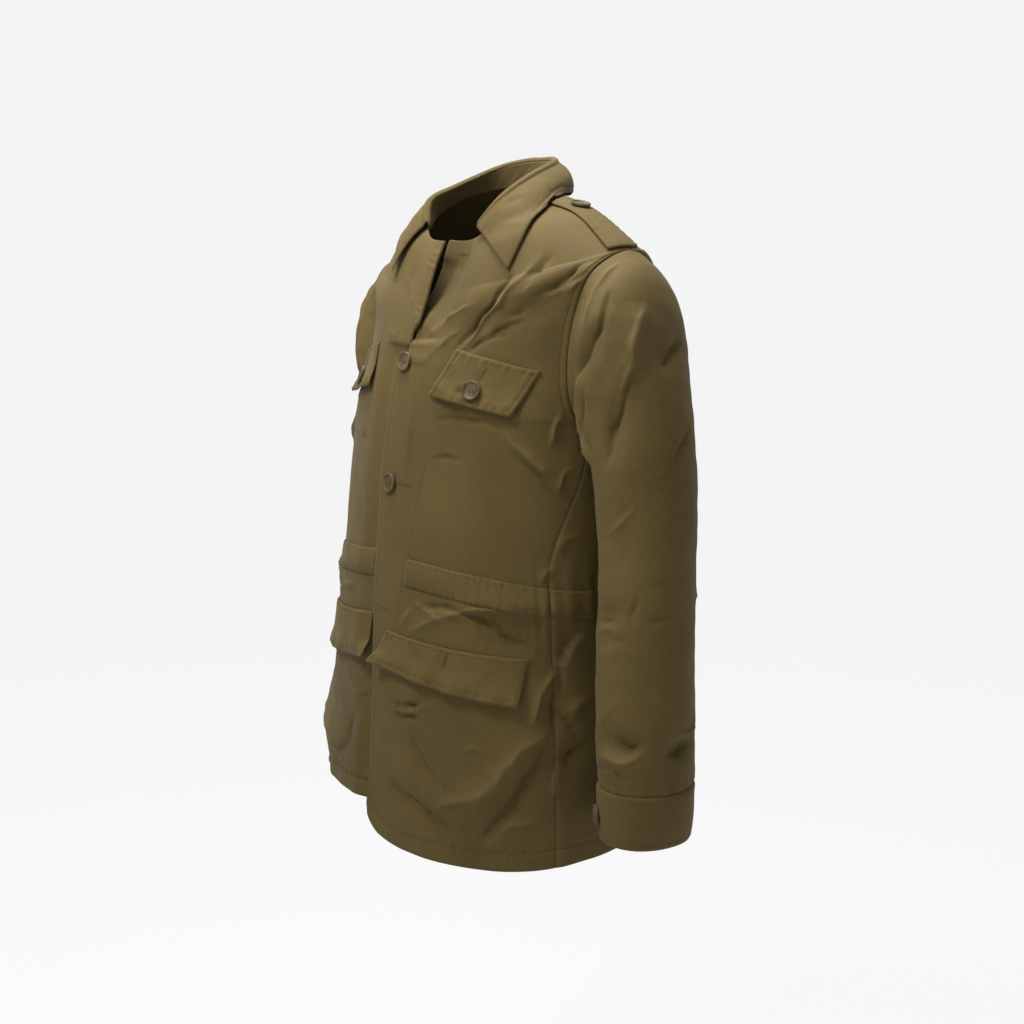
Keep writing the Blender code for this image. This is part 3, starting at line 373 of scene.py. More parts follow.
def half_lines(level):
    """The body's left half at one level, as two lines: the front, from the centre front, and the
    back, to the centre back. They meet at the side seam or on the shoulder, or end at the armhole."""
    values = through([row[1:] for row in BODY_ROWS], np.array([level]))[0]
    row = dict(zip(BODY_COLUMNS, values))
    front = np.array([0, row["front_y"], row["front_z"]])
    back = np.array([0, row["back_y"], row["back_z"]])
    right, backward = np.array([1.0, 0, 0]), np.array([0, 1.0, 0])
    into, out_of = backward, backward
    if level <= ARMPIT:
        sides = [row_[3:6] for row_ in BODY_ROWS[: ARMPIT + 1]]
        front_end = back_end = through(sides, np.array([level]))[0]
    elif level < TIP:
        share = (level - ARMPIT) / (TIP - ARMPIT)
        front_end = armhole(np.array([5 * (1 - share)]))[0]
        back_end = armhole(np.array([5 * (1 + share)]))[0]
        opened = sin(pi * share)
        into = unit(backward * (1 - opened) + np.array([0.80, 0.58, 0.10]) * opened)
        out_of = unit(backward * (1 - opened) + np.array([-0.80, 0.60, 0.0]) * opened)
    else:
        share = (level - TIP) / (NECK - TIP)
        sides = [row_[3:6] for row_ in BODY_ROWS[TIP:]]
        front_end = back_end = through(sides, np.array([level - TIP]))[0]
        into = out_of = unit(np.array([0, 1.0, 0.45 * share**2]))
    reach = row["front_full"]
    front_line = bezier(
        front,
        front + right * reach * front_end[0],
        front_end - into * reach * np.linalg.norm((front_end - front)[1:]),
        front_end,
    )
    reach = row["back_full"]
    back_line = bezier(
        back_end,
        back_end + out_of * reach * np.linalg.norm((back - back_end)[1:]),
        back + right * reach * back_end[0],
        back,
    )
    if level < ARMPIT:
        forward = SEAM_FORWARD * (1 - ramp(level, ARMPIT - 1.8, ARMPIT))
        cut = lengths(front_line)[-1] * (1 - forward)
        whole = np.concatenate([front_line, back_line[1:]])
        front_line = at_length(whole, np.linspace(0, cut, 240))
        back_line = at_length(whole, np.linspace(cut, lengths(whole)[-1], 360))
    return front_line, back_line


def slope(points):
    """Moves the right shoulder and its sleeve to where they hang."""
    share = ramp(-points[..., 0], 0.06, 0.20) * ramp(points[..., 2], -0.27, -0.12)
    return points + np.array([0, *RIGHT_SHOULDER]) * share[..., None]


def hang(points, level, side):
    """The hem hangs lower on the left than on the right; this moves one side's points."""
    share = (1 - ramp(level, 0, 1.4)) * ramp(-points[..., 1], -0.10, 0.16)
    lift = HEM_DROP[side] * share
    if side == "left":
        corner = (1 - ramp(level, 0, 0.5)) * (1 - ramp(points[..., 0], -0.02, 0.05))
        lift = lift + CORNER_LIFT * corner * (points[..., 1] < 0)
    return points + np.array([0, 0, 1.0]) * lift[..., None]


def passed_centre(height, side):
    """How far a front's free edge passes the centre line, at this height."""
    lapped = ramp(abs(height - CROSSING_Z), *CROSSING_LAP)
    full = OVERLAP if height < CROSSING_Z else OPEN_LAP[side]
    return full * lapped - SEAM_GAP


def moved_in(height, side):
    """How far a front's edge is moved in at this height, where it lies beneath the other."""
    beneath = height < CROSSING_Z if side == "right" else height > CROSSING_Z
    if not beneath:
        return 0.0
    open_share = ramp(height, -0.150, -0.095)
    hem_share = ramp(-height, 0.52, 0.66)
    step = UNDER_STEP + (OPEN_STEP - UNDER_STEP) * open_share + HEM_STEP * hem_share
    return step * ramp(abs(height - CROSSING_Z), 0.0, CROSSING_TURN)


def front_sheet(levels, steps, side):
    """Points on the outer side of one front, a row for each level and columns from its free edge.
    The front that lies beneath at the overlap is moved in there."""
    rows = []
    for level in levels:
        line = half_lines(level)[0]
        both = np.concatenate([mirrored(line[:0:-1]), line])
        passed = passed_centre(line[0, 2], side)
        length = lengths(line)[-1]
        start = length - passed
        edge_end = 0.052 + passed
        narrow = max(3, steps // 5)
        places = np.concatenate([
            np.linspace(start, start + edge_end, narrow, endpoint=False),
            np.linspace(start + edge_end, 2 * length, steps + 1 - narrow),
        ])
        row = at_length(both, places)
        inward = unit(np.array([0, 1.0, -0.35 * ramp(level, ARMPIT, TIP)]))
        near_edge = 1 - ramp(row[:, 0], OVERLAP + 0.003, 0.056 - 0.012 * ramp(level, TIP, NECK))
        row = row + inward * (moved_in(line[0, 2], side) * near_edge)[:, None]
        row = hang(row, level, side)
        rows.append(row if side == "left" else mirrored(row)[::-1])
    return slope(np.array(rows))


def back_sheet(levels, steps):
    """Points on the outer side of the back, from the left side seam to the right one."""
    rows = []
    for level in levels:
        line = half_lines(level)[1]
        both = np.concatenate([hang(line, level, "left"), mirrored(hang(line[-2::-1], level, "right"))])
        rows.append(at_length(both, np.linspace(0, lengths(both)[-1], steps + 1)))
    return slope(np.array(rows))


def body_levels():
    return np.concatenate([
        np.linspace(0, ARMPIT, LOW_STEPS + 1)[:-1],
        np.linspace(ARMPIT, TIP, ARM_STEPS + 1),
        np.linspace(TIP, NECK, TOP_STEPS + 1)[1:],
    ])


def normals_of(sheet, tube=False):
    """Unit normals of a sheet of points. A tube's last column is its first one again."""
    if tube:
        wide = np.concatenate([sheet[:, -2:-1], sheet, sheet[:, 1:2]], 1)
        across = np.gradient(wide, axis=1)[:, 1:-1]
    else:
        across = np.gradient(sheet, axis=1)
    return unit(np.cross(across, np.gradient(sheet, axis=0)))


def at_place(sheet, i, j):
    """Points of a sheet between its rows and columns."""
    a = np.clip(np.floor(i).astype(int), 0, sheet.shape[0] - 2)
    b = np.clip(np.floor(j).astype(int), 0, sheet.shape[1] - 2)
    s, t = (i - a)[..., None], (j - b)[..., None]
    lower = sheet[a, b] * (1 - t) + sheet[a, b + 1] * t
    upper = sheet[a + 1, b] * (1 - t) + sheet[a + 1, b + 1] * t
    return lower * (1 - s) + upper * s


def find_place(sheet, x, z):
    """Row and column numbers of the points of a front that have this x and z."""
    flat = sheet[..., [0, 2]]
    target = np.stack([x, z], -1)
    tree = tree_of(sheet.reshape(-1, 3) * np.array([1, 0, 1]))
    far = np.array([tree.find((a, 0, b))[1] for a, b in zip(x.ravel(), z.ravel())]).reshape(x.shape)
    i, j = (far // sheet.shape[1]).astype(float), (far % sheet.shape[1]).astype(float)
    for _ in range(12):
        here = at_place(flat, i, j)
        di = (at_place(flat, i + 0.05, j) - here) / 0.05
        dj = (at_place(flat, i, j + 0.05) - here) / 0.05
        det = di[..., 0] * dj[..., 1] - di[..., 1] * dj[..., 0]
        off = target - here
        i = i + (off[..., 0] * dj[..., 1] - off[..., 1] * dj[..., 0]) / det
        j = j + (di[..., 0] * off[..., 1] - di[..., 1] * off[..., 0]) / det
        i, j = np.clip(i, 0, sheet.shape[0] - 1), np.clip(j, 0, sheet.shape[1] - 1)
    return i, j


# %% The sleeves' surface
def oval(values, at):
    """One ring of a sleeve. at counts like the armhole: 0 outside, 5 next to the body."""
    row = dict(zip(RING_COLUMNS, values))
    angle = at / 10 * 2 * pi
    middle = (row["fore_y"] + row["aft_y"]) / 2
    depth = (row["aft_y"] - row["fore_y"]) / 2
    half_x = (row["outer_x"] - row["inner_x"]) / 2
    half_z = (row["outer_z"] - row["inner_z"]) / 2
    x = row["inner_x"] + half_x * (1 + np.cos(angle))
    y = middle - depth * np.sin(angle)
    z = row["inner_z"] + half_z * (1 + np.cos(angle))
    return np.stack([x, y, z], -1)


def sleeve_sheet(rings, sides, side):
    """Points on the outer side of a sleeve: the armhole, then ovals down to the wrist."""
    at = np.linspace(0, 10, sides + 1)
    table = SLEEVE_ROWS if side == "left" else RIGHT_SLEEVE_ROWS
    ovals = np.array([oval(row[1:], at) for row in table])
    loop = armhole(at)
    loop = loop + unit(ovals[0] - loop) * SEAM_GAP
    stack = np.concatenate([loop[None], ovals])
    numbers = np.linspace(0, 1, rings) ** 1.15 * (len(stack) - 1)
    sheet = through(stack.reshape(len(stack), -1), numbers).reshape(rings, sides + 1, 3)
    return sheet if side == "left" else slope(mirrored(sheet)[:, ::-1])


def cuff_sheet(rings, sides, side):
    """Points on the outer side of a cuff, worked out from the sleeve's last ring."""
    at = np.linspace(0, 10, sides + 1)
    end = oval((SLEEVE_ROWS if side == "left" else RIGHT_SLEEVE_ROWS)[-1][1:], at)
    outwards = unit(end - end[:-1].mean(0))
    stack = np.array([end + outwards * more + np.array([0, 0, down]) for _, more, down in CUFF])
    numbers = np.linspace(0, len(stack) - 1, rings)
    sheet = through(stack.reshape(len(stack), -1), numbers).reshape(rings, sides + 1, 3)
    return sheet if side == "left" else mirrored(sheet)[:, ::-1]

# %% [markdown]
# ## Creases
# The solids carry only the largest folds. These are the smaller ones, in the same kind of table,
# placed one by one. They could come from a cloth simulation, but a table puts each one where it is wanted.
# The wearer's left side follows the photograph, and the hidden sides have similar ones.

# %% Crease tables
FRONT_CREASES = creases_from("""
-3 7: 204 -13 -66, 190 -32 -73, 178 -49 -90, 151 -64 -116, 125 -74 -124
3 7: 201 -27 -86, 179 -50 -95, 156 -60 -109, 139 -69 -120
-2 5: 200 -28 -82, 195 -37 -87, 182 -47 -93
-3.5 8: 118 -62 -82, 109 -78 -106, 92 -87 -130, 71 -101 -162
3.5 7: 140 -47 -71, 122 -73 -103, 98 -85 -130, 81 -98 -161
-3 5: 139 -70 -131, 114 -82 -141, 99 -89 -152, 85 -97 -164
-2 4: 126 -77 -143, 111 -84 -148, 97 -92 -157
2 6: 75 -89 -115, 47 -98 -135, 21 -105 -154, 6 -113 -167
1.6 5: 67 -98 -146, 48 -106 -162, 33 -112 -173
3 8: 44 -78 -91, 15 -88 -122, 2 -106 -146
-2.5 9: 153 -39 -68, 145 -51 -79, 139 -65 -97
-3 7: 64 -120 -238, 78 -115 -236, 104 -105 -239, 133 -91 -241
-2 5: 63 -127 -280, 77 -122 -275, 95 -115 -276
3 6: 139 -88 -252, 162 -73 -276, 180 -53 -303
-2.5 6: 145 -86 -265, 165 -71 -288, 178 -57 -309
2.5 6: 181 -48 -220, 176 -56 -241, 173 -59 -261
2.5 5: 189 -35 -283, 184 -45 -288, 181 -52 -306
2 5: 191 -37 -353, 186 -47 -357, 182 -55 -371
2.5 5: 179 -63 -390, 173 -73 -403
-2 4: 182 -59 -396, 179 -67 -410
3 5: 48 -150 -466, 80 -141 -453, 107 -129 -440, 128 -117 -436, 160 -91 -436, 183 -63 -441
-3.5 6: 66 -145 -440, 94 -134 -436, 110 -128 -441, 129 -118 -448, 147 -107 -457
2.5 5: 52 -150 -436, 80 -142 -446, 106 -131 -458
-2.5 8: 145 -109 -459, 155 -102 -468, 170 -89 -472
2 5: 31 -152 -462, 39 -150 -455, 45 -149 -448
3 6: 199 -28 -456, 197 -43 -473, 195 -52 -490, 193 -58 -502
3 6: 191 -63 -499, 186 -75 -515, 181 -87 -550
-3.5 6: 195 -46 -466, 192 -57 -488, 193 -66 -533, 194 -71 -565
-3 6: 196 -61 -545, 200 -54 -558, 204 -46 -566
-3 6: 209 -31 -575, 206 -47 -588, 202 -59 -601
3 6: 206 -30 -533, 204 -42 -540, 203 -52 -552
-4 5: 10 -157 -545, 26 -157 -558, 54 -154 -556, 75 -149 -544
-2.5 4: 14 -157 -563, 35 -156 -570, 60 -153 -566, 79 -148 -553
3 5: 11 -157 -553, 35 -156 -563, 60 -153 -561, 77 -149 -549
3 9: 189 -80 -570, 178 -96 -581, 169 -108 -602, 157 -119 -620, 143 -130 -637, 92 -152 -660
-3 9: 192 -77 -580, 185 -90 -605, 176 -103 -629, 164 -117 -655, 146 -132 -684
-2.5 9: 2 -161 -638, 48 -160 -657, 89 -154 -675, 113 -147 -683
-2 12: 53 -155 -579, 64 -155 -604, 90 -151 -632, 114 -144 -642
2 8: 121 -138 -592, 132 -132 -585, 145 -124 -585
2.5 8: 200 -65 -599, 199 -70 -620, 198 -75 -635
2.5 9: 156 -126 -689, 173 -110 -669, 188 -93 -663
""")
BACK_CREASES = creases_from("""
-3.5 8: 186 50 -170, 160 90 -205, 110 116 -258
3 7: 184 46 -196, 150 95 -236, 98 120 -290
-2.5 6: 187 20 -246, 176 50 -290, 150 82 -345
3 7: 190 10 -268, 182 40 -320, 160 70 -370
-2 9: 120 95 -90, 70 112 -120, 10 116 -130
2.5 6: 170 55 -388, 135 85 -376, 90 105 -380
-3 6: 150 72 -402, 110 98 -392, 62 112 -398
3 7: 160 68 -462, 120 94 -476, 74 112 -470
-3 7: 182 45 -460, 150 80 -500, 130 98 -560
3.5 9: 196 40 -470, 180 66 -530, 172 80 -620
-3 9: 90 118 -500, 80 128 -580, 90 134 -680
3 9: 20 128 -480, 14 138 -570, 24 144 -690
2.5 7: 60 110 -300, 20 120 -330, -30 121 -342
-2 6: 36 112 -352, 0 120 -366, -44 118 -360
""")
SLEEVE_CREASES = creases_from("""
-5 8: 236 -50 -135, 228 -55 -154, 208 -50 -180
-3 7: 235 -35 -102, 236 -46 -124, 235 -52 -141
3 7: 219 -5 -80, 220 -31 -96, 219 -44 -116, 217 -51 -140
3.5 8: 260 -12 -113, 265 -26 -140, 269 -34 -168, 267 -45 -195, 263 -52 -223
-4 8: 272 -34 -176, 269 -46 -204, 263 -54 -238, 259 -56 -266
4.5 8: 214 -54 -188, 208 -48 -219, 216 -48 -250, 234 -51 -276
-4 6: 226 -52 -200, 222 -50 -232, 236 -52 -262
-3 7: 269 38 -146, 279 14 -156, 284 -3 -171
-2.5 6: 297 26 -237, 305 7 -250, 307 -7 -265
2 5: 287 -47 -312, 275 -52 -326, 257 -53 -342
-2.2 4: 300 -42 -390, 311 -28 -385, 316 -9 -384
-2.6 4: 293 -47 -401, 289 -49 -421, 287 -52 -437
-2.4 4: 244 -50 -438, 268 -54 -430, 283 -51 -428
1.8 4: 248 -52 -446, 265 -57 -440, 287 -53 -436
-1.8 4: 258 -56 -454, 278 -56 -450, 292 -53 -450
-2.2 4: 307 -35 -427, 315 -24 -424, 319 -8 -424
2.5 5: 275 -66 -522, 264 -66 -536, 252 -58 -546
-3 6: 260 -65 -587, 286 -70 -584, 300 -66 -591
-4 8: 290 -67 -551, 300 -63 -555, 309 -57 -551
3 7: 268 -68 -572, 283 -70 -575, 301 -64 -573, 313 -54 -558
-4 7: 324 5 -562, 328 -14 -564, 327 -30 -565
2.5 6: 322 24 -540, 326 8 -548, 328 -10 -546
-2.5 6: 300 38 -380, 282 48 -392, 256 48 -396
2.5 6: 306 34 -410, 284 46 -418, 250 44 -420
-2.5 5: 224 20 -414, 236 38 -426, 262 46 -436
-3 8: 226 62 -190, 246 66 -230, 258 58 -290
3 8: 214 40 -240, 230 56 -290, 252 52 -340
-2.5 7: 262 44 -530, 288 40 -552, 312 30 -560
""")
COLLAR_CREASES = creases_from("""
-1.6 6: 73 -36 -17, 78 -27 -11, 84 -19 -10
2 8: 70 3 18, 80 10 12, 92 12 0
1.8 7: 83 -44 -36, 94 -38 -36, 106 -34 -38
-1.4 6: -66 -40 -20, -74 -36 -30, -84 -40 -44
1.6 8: 20 86 34, 34 88 18, 50 84 4
-1.6 8: -44 70 32, -52 72 16, -56 74 2
""")
BUTTONHOLES = (
    # piece, and the slit's two ends as x and z
    ("front_left", 0.009, -0.1795, 0.031, -0.1805),
    ("front_left", 0.010, -0.3105, 0.032, -0.3115),
    ("front_left", -0.011, -0.4510, 0.009, -0.4520),
    ("front_left", 0.009, -0.0630, 0.028, -0.0640),
)
FLAP_SLITS = (
    # flap, and the slit's place: share of its width, and shares of its depth at the two ends
    ("chest_left", 0.47, 0.14, 0.44),
    ("chest_right", 0.47, 0.14, 0.44),
    ("hip_left", 0.55, 0.13, 0.45),
    ("hip_right", 0.52, 0.13, 0.45),
)
print("creases:", len(FRONT_CREASES), len(BACK_CREASES), len(SLEEVE_CREASES), len(COLLAR_CREASES))

# %% [markdown]
# ## How creases raise the cloth
# A crease fades in and out along its line and is never quite straight, because the cloth's points are
# read slightly out of place. Puckers and the groove follow each row of stitches.
# Sculpting could do this as well. A formula works on a grid of any fineness.

# %% Heights
def wander(points, size, seed):
    """A smooth field between about -2 and 2 that changes over this size, in metres."""
    dice = np.random.default_rng(seed)
    total = np.zeros(points.shape[:-1])
    for _ in range(9):
        direction = dice.normal(size=3) / size * 1.6
        total += np.sin(points @ direction + dice.uniform(0, 2 * pi))
    return total / 2.1


def beat(along, size, seed):
    """The same along a line."""
    dice = np.random.default_rng(seed)
    total = np.zeros(np.shape(along))
    for _ in range(5):
        total += np.sin(np.asarray(along) * dice.uniform(0.55, 1.5) * 2 * pi / size + dice.uniform(0, 6))
    return total / 2.2


def tree_of(points):
    tree = KDTree(len(points))
    for number, point in enumerate(points):
        tree.insert(point, number)
    tree.balance()
    return tree


def smooth_line(line, count=20):
    line = np.array(line, float)
    return through(line, np.linspace(0, len(line) - 1, count))


def laid(line, tree, normals):
    """A crease's line, moved onto the surface whose points the tree holds."""
    out = []
    for point in smooth_line(line):
        near, number, _ = tree.find(point)
        normal = normals[number]
        out.append(point - normal * ((point - np.array(near)) @ normal))
    return np.array(out)


def near_line(points, line, reach):
    """Which points lie within reach of a line, the way from it to each, and where along it."""
    low, high = line.min(0) - reach, line.max(0) + reach
    near = np.flatnonzero(((points > low) & (points < high)).all(1))
    here = points[near]
    way, place = np.full((len(near), 3), 1e9), np.zeros(len(near))
    along = lengths(line)
    for k in range(len(line) - 1):
        step = line[k + 1] - line[k]
        t = np.clip((here - line[k]) @ step / (step @ step), 0, 1)
        offset = here - line[k] - t[:, None] * step
        closer = (offset**2).sum(1) < (way**2).sum(1)
        way[closer] = offset[closer]
        place = np.where(closer, along[k] + t * (along[k + 1] - along[k]), place)
    return near, way, place / along[-1]


def raised(points, creases, tree, normals, sharp, gain=1.0):
    """How far these creases raise each point. sharp is 0 for a soft fold and 1 for a pressed one,
    which is steep on one side and runs out gently on the other."""
    flat = points.reshape(-1, 3)
    read = flat + 0.0016 * sharp * np.stack([wander(flat, 0.016, s) for s in (1, 2, 3)], -1)
    total = np.zeros(len(flat))
    for number, (tall, wide, line) in enumerate(creases):
        line = laid(line, tree, normals)
        wide = wide / 1000 * (1 - 0.42 * sharp)
        near, way, place = near_line(read, line, 3 * wide)
        facing = normals[tree.find(line[len(line) // 2])[1]]
        across = unit(np.cross(line[-1] - line[0], facing))
        lean = (-1) ** number * 0.42 * sharp
        away = np.linalg.norm(way, axis=1) / (wide * (1 + lean * np.tanh(way @ across / wide * 1.5)))
        fade = np.sin(pi * np.clip(place, 0.02, 0.98)) ** (0.7 - 0.35 * sharp)
        keen = np.exp(-((away / 0.60) ** 1.25))
        total[near] += gain * tall / 1000 * fade * ((1 - sharp) * np.exp(-(away**2)) + sharp * keen)
    return total.reshape(points.shape[:-1])


def seam_rows(from_edge, along, at, seed, pucker=0.00022, groove=0.0006):
    """The groove of a row of stitches this far from an edge, and the puckers beside it."""
    off = from_edge - at
    puckers = beat(along, 0.0090, seed) * np.exp(-((off / 0.0060) ** 2))
    return pucker * puckers - groove * np.exp(-((off / 0.0013) ** 2))


def spans(sheet):
    """For each point, how far along its row and its column it lies."""
    across = np.linalg.norm(np.diff(sheet, axis=1), axis=-1)
    up = np.linalg.norm(np.diff(sheet, axis=0), axis=-1)
    across = np.concatenate([np.zeros((len(sheet), 1)), np.cumsum(across, 1)], 1)
    up = np.concatenate([np.zeros((1, sheet.shape[1])), np.cumsum(up, 0)], 0)
    return across, up


def rolled(from_edge, deep=0.0014, wide=0.0030):
    """The outer side turns in towards an edge."""
    return -deep * (1 - ramp(from_edge, 0, wide)) ** 2


def echoed(creases, seed, keep=0.8):
    """Similar creases for a side that the photograph doesn't show."""
    dice = np.random.default_rng(seed)
    made = []
    for tall, wide, line in creases:
        if dice.random() > keep:
            continue
        turn = dice.normal(0, 0.0045, (len(line), 3)) + dice.normal(0, 0.006, 3)
        made.append((tall * dice.uniform(0.6, 1.05), wide * dice.uniform(0.9, 1.3), line + turn))
    return made


# %% [markdown]
# ## Shells
# A shell is a closed wall between an outer and an inner sheet, with a rounded rim. Its UV map is the
# cut in metres, and the attribute crease holds how far the cloth is raised or sunk; from it the cloth
# material paints shade into the hollows and a highlight onto the ridges.
# A Solidify modifier gives such a wall too, but this one can be thinner where sewing presses it.

# %% Building a shell
def shell(name, outer, inner, height, look, tube=False):
    across, up = spans(outer)
    if tube:
        round_it = across[:, -1:].mean()
        outer, inner, height, across, up = (a[:, :-1] for a in (outer, inner, height, across, up))
    rows, columns = outer.shape[:2]
    grid = np.arange(rows * columns).reshape(rows, columns)
    wide = np.concatenate([grid, grid[:, :1]], 1) if tube else grid
    quads = np.stack([wide[:-1, :-1], wide[:-1, 1:], wide[1:, 1:], wide[1:, :-1]], -1).reshape(-1, 4)
    faces = [quads, quads[:, ::-1] + rows * columns]
    if tube:
        loops = [(grid[0], grid[1]), (grid[-1], grid[-2])]
    else:
        row, column = list(range(rows)), list(range(columns))  # once round the sheet's edge
        i = [0] * (columns - 1) + row[:-1] + [rows - 1] * (columns - 1) + row[:0:-1]
        j = column[:-1] + [columns - 1] * (rows - 1) + column[:0:-1] + [0] * (rows - 1)
        loops = [(grid[i, j], grid[np.clip(i, 1, rows - 2), np.clip(j, 1, columns - 2)])]
    flat_outer, flat_inner = outer.reshape(-1, 3), inner.reshape(-1, 3)
    points = [flat_outer, flat_inner]
    values = [height.ravel(), 0 * height.ravel()]
    flat_uv = np.stack([across.ravel(), up.ravel()], -1)
    uvs = [flat_uv, flat_uv + 0.5]
    start = 2 * rows * columns
    for edge, inside in loops:
        middle = (flat_outer[edge] + flat_inner[edge]) / 2
        thick = np.linalg.norm(flat_outer[edge] - flat_inner[edge], axis=1, keepdims=True)
        middle = middle + unit(flat_outer[edge] - flat_outer[inside]) * thick * 0.32
        points.append(middle)
        values.append(height.ravel()[edge])
        uvs.append(flat_uv[edge])
        new = start + np.arange(len(edge))
        start += len(edge)
        for side, low in ((edge, new), (new, edge + rows * columns)):
            faces.append(np.stack([side, np.roll(side, -1), np.roll(low, -1), low], -1))
    faces = np.concatenate(faces)
    mesh = bpy.data.meshes.new(name)
    mesh.from_pydata(np.concatenate(points).tolist(), [], faces.tolist())
    work = bmesh.new()
    work.from_mesh(mesh)
    bmesh.ops.recalc_face_normals(work, faces=work.faces)
    work.to_mesh(mesh)
    work.free()
    mesh.shade_smooth()
    corners = np.zeros(len(mesh.loops), int)
    mesh.loops.foreach_get("vertex_index", corners)
    uv = np.concatenate(uvs)[corners].reshape(-1, 4, 2)
    if tube:
        jumps = np.ptp(uv[..., 0], axis=1) > round_it / 2
        uv[..., 0] += round_it * (jumps[:, None] & (uv[..., 0] < round_it / 2))
    mesh.uv_layers.new(name="cut").data.foreach_set("uv", uv.ravel())
    crease = mesh.attributes.new("crease", "FLOAT", "POINT")
    crease.data.foreach_set("value", np.concatenate(values).astype(np.float32) * 1000)
    mesh.materials.append(look)
    return placed(name, mesh)

# %% [markdown]
# ## A piece of cloth
# fold moves the whole wall and skin moves only its outer side, for the padding that dips at seams.
# A bump in the material could show that dip, but the mesh itself would stay flat.

# %% The cloth class
class Cloth:
    """A sheet of points on the outer side of one piece, its normals, and how far each is raised."""

    def __init__(self, name, base, normals, thick, tube=False):
        self.name, self.base, self.normals, self.thick, self.tube = name, base, normals, thick, tube
        self.from_start, self.from_low = spans(base)
        self.from_end = self.from_start[:, -1:] - self.from_start
        self.from_high = self.from_low[-1:] - self.from_low
        self.fold = np.zeros(base.shape[:-1])
        self.skin = np.zeros(base.shape[:-1])
        # crease is what the material turns into painted shade in hollows and a painted highlight on ridges
        self.crease = np.zeros(base.shape[:-1])

    def outer(self):
        return self.base + self.normals * (self.fold + self.skin)[..., None]

    def inner(self):
        return self.base + self.normals * (self.fold - self.thick)[..., None]

    def places(self, edge, off, first=0, last=None):
        """Row and column numbers of a line that runs this far off an edge."""
        rows, columns = (np.arange(n, dtype=float) for n in self.base.shape[:2])
        at = getattr(self, "from_" + edge)
        order = slice(None, None, 1 if edge in ("start", "low") else -1)
        if edge in ("start", "end"):
            found = np.array([np.interp(off, line[order], columns[order]) for line in at])
            return rows[first:last], found[first:last]
        found = np.array([np.interp(off, line[order], rows[order]) for line in at.T])
        return found[first:last], columns[first:last]

    def line(self, i, j):
        """Points on the outer side at these places, and which way is out there."""
        return at_place(self.outer(), i, j), unit(at_place(self.normals, i, j))

    def along(self, edge, off, first=0, last=None):
        return self.line(*self.places(edge, off, first, last))

    def sink_row(self, edge, off, seed, pucker=0.00022, groove=0.0006, only=1.0):
        """The groove and puckers of a row of stitches this far off an edge."""
        away = getattr(self, "from_" + edge)
        along = self.from_low if edge in ("start", "end") else self.from_start
        dip = seam_rows(away, along, off, seed, pucker, groove) * only
        self.skin += dip
        # The groove also goes into crease, where it becomes painted shade
        self.crease += dip

    def roll(self, *edges, deep=0.0014, wide=0.0030):
        for edge in edges:
            self.skin += rolled(getattr(self, "from_" + edge), deep, wide)

    def build(self, look, inner=None):
        inner = self.inner() if inner is None else inner
        return shell(self.name, self.outer(), inner, self.crease, look, self.tube)


# %% [markdown]
# ## Stitches
# One Geometry Nodes tree lays every thread: a line becomes a row of short rounded stitches, each
# turned along it. With a half turn of 90 degrees and a short pitch it makes a buttonhole's edge.
# Thread holds the real pieces together. Single copies along a curve would do, but a tree keeps the
# pitch and the size as inputs.

# %% The stitch tree
def stitch_tree():
    tree = bpy.data.node_groups.new("stitches", "GeometryNodeTree")
    face = tree.interface
    face.new_socket("Geometry", in_out="INPUT", socket_type="NodeSocketGeometry")
    for name in ("Pitch", "Length", "Thickness", "Turn"):
        face.new_socket(name, in_out="INPUT", socket_type="NodeSocketFloat")
    face.new_socket("Material", in_out="INPUT", socket_type="NodeSocketMaterial")
    face.new_socket("Geometry", in_out="OUTPUT", socket_type="NodeSocketGeometry")

    def node(kind, links, **settings):
        made = tree.nodes.new(kind)
        for name, value in settings.items():
            setattr(made, name, value)
        for name, value in links.items():
            if isinstance(value, bpy.types.NodeSocket):
                tree.links.new(value, made.inputs[name])
            else:
                made.inputs[name].default_value = value
        return made

    given = node("NodeGroupInput", {}).outputs
    curve = node("GeometryNodeMeshToCurve", {"Mesh": given["Geometry"]}).outputs["Curve"]
    dots = node("GeometryNodeCurveToPoints", {"Curve": curve, "Length": given["Pitch"]}, mode="LENGTH")
    up = node("GeometryNodeInputNamedAttribute", {"Name": "up"}, data_type="FLOAT_VECTOR")
    ahead = node("FunctionNodeAlignRotationToVector", {"Vector": dots.outputs["Tangent"]}, axis="X")
    level = node(
        "FunctionNodeAlignRotationToVector",
        {"Rotation": ahead.outputs[0], "Vector": up.outputs[0]},
        axis="Z", pivot_axis="X",
    )
    turn = node("FunctionNodeAxisAngleToRotation", {"Axis": (0, 0, 1), "Angle": given["Turn"]})
    facing = node(
        "FunctionNodeRotateRotation",
        {"Rotation": level.outputs[0], "Rotate By": turn.outputs[0]},
        rotation_space="LOCAL",
    )
    bead = node("GeometryNodeMeshUVSphere", {"Segments": 6, "Rings": 4, "Radius": 0.5})
    size = node(
        "ShaderNodeCombineXYZ",
        {"X": given["Length"], "Y": given["Thickness"], "Z": given["Thickness"]},
    )
    laid_out = node(
        "GeometryNodeInstanceOnPoints",
        {"Points": dots.outputs["Points"], "Instance": bead.outputs["Mesh"],
         "Rotation": facing.outputs[0], "Scale": size.outputs[0]},
    )
    real = node("GeometryNodeRealizeInstances", {"Geometry": laid_out.outputs[0]})
    smooth = node("GeometryNodeSetShadeSmooth", {"Geometry": real.outputs[0]})
    dyed = node("GeometryNodeSetMaterial", {"Geometry": smooth.outputs[0], "Material": given["Material"]})
    node("NodeGroupOutput", {"Geometry": dyed.outputs[0]})
    return tree


STITCHES = stitch_tree()


def plain_mesh(thing, name):
    """The object's mesh with its modifiers applied, as a new object in place of the old one."""
    graph = bpy.context.evaluated_depsgraph_get()
    mesh = bpy.data.meshes.new_from_object(thing.evaluated_get(graph), depsgraph=graph)
    bpy.data.objects.remove(thing)
    return placed(name, mesh)


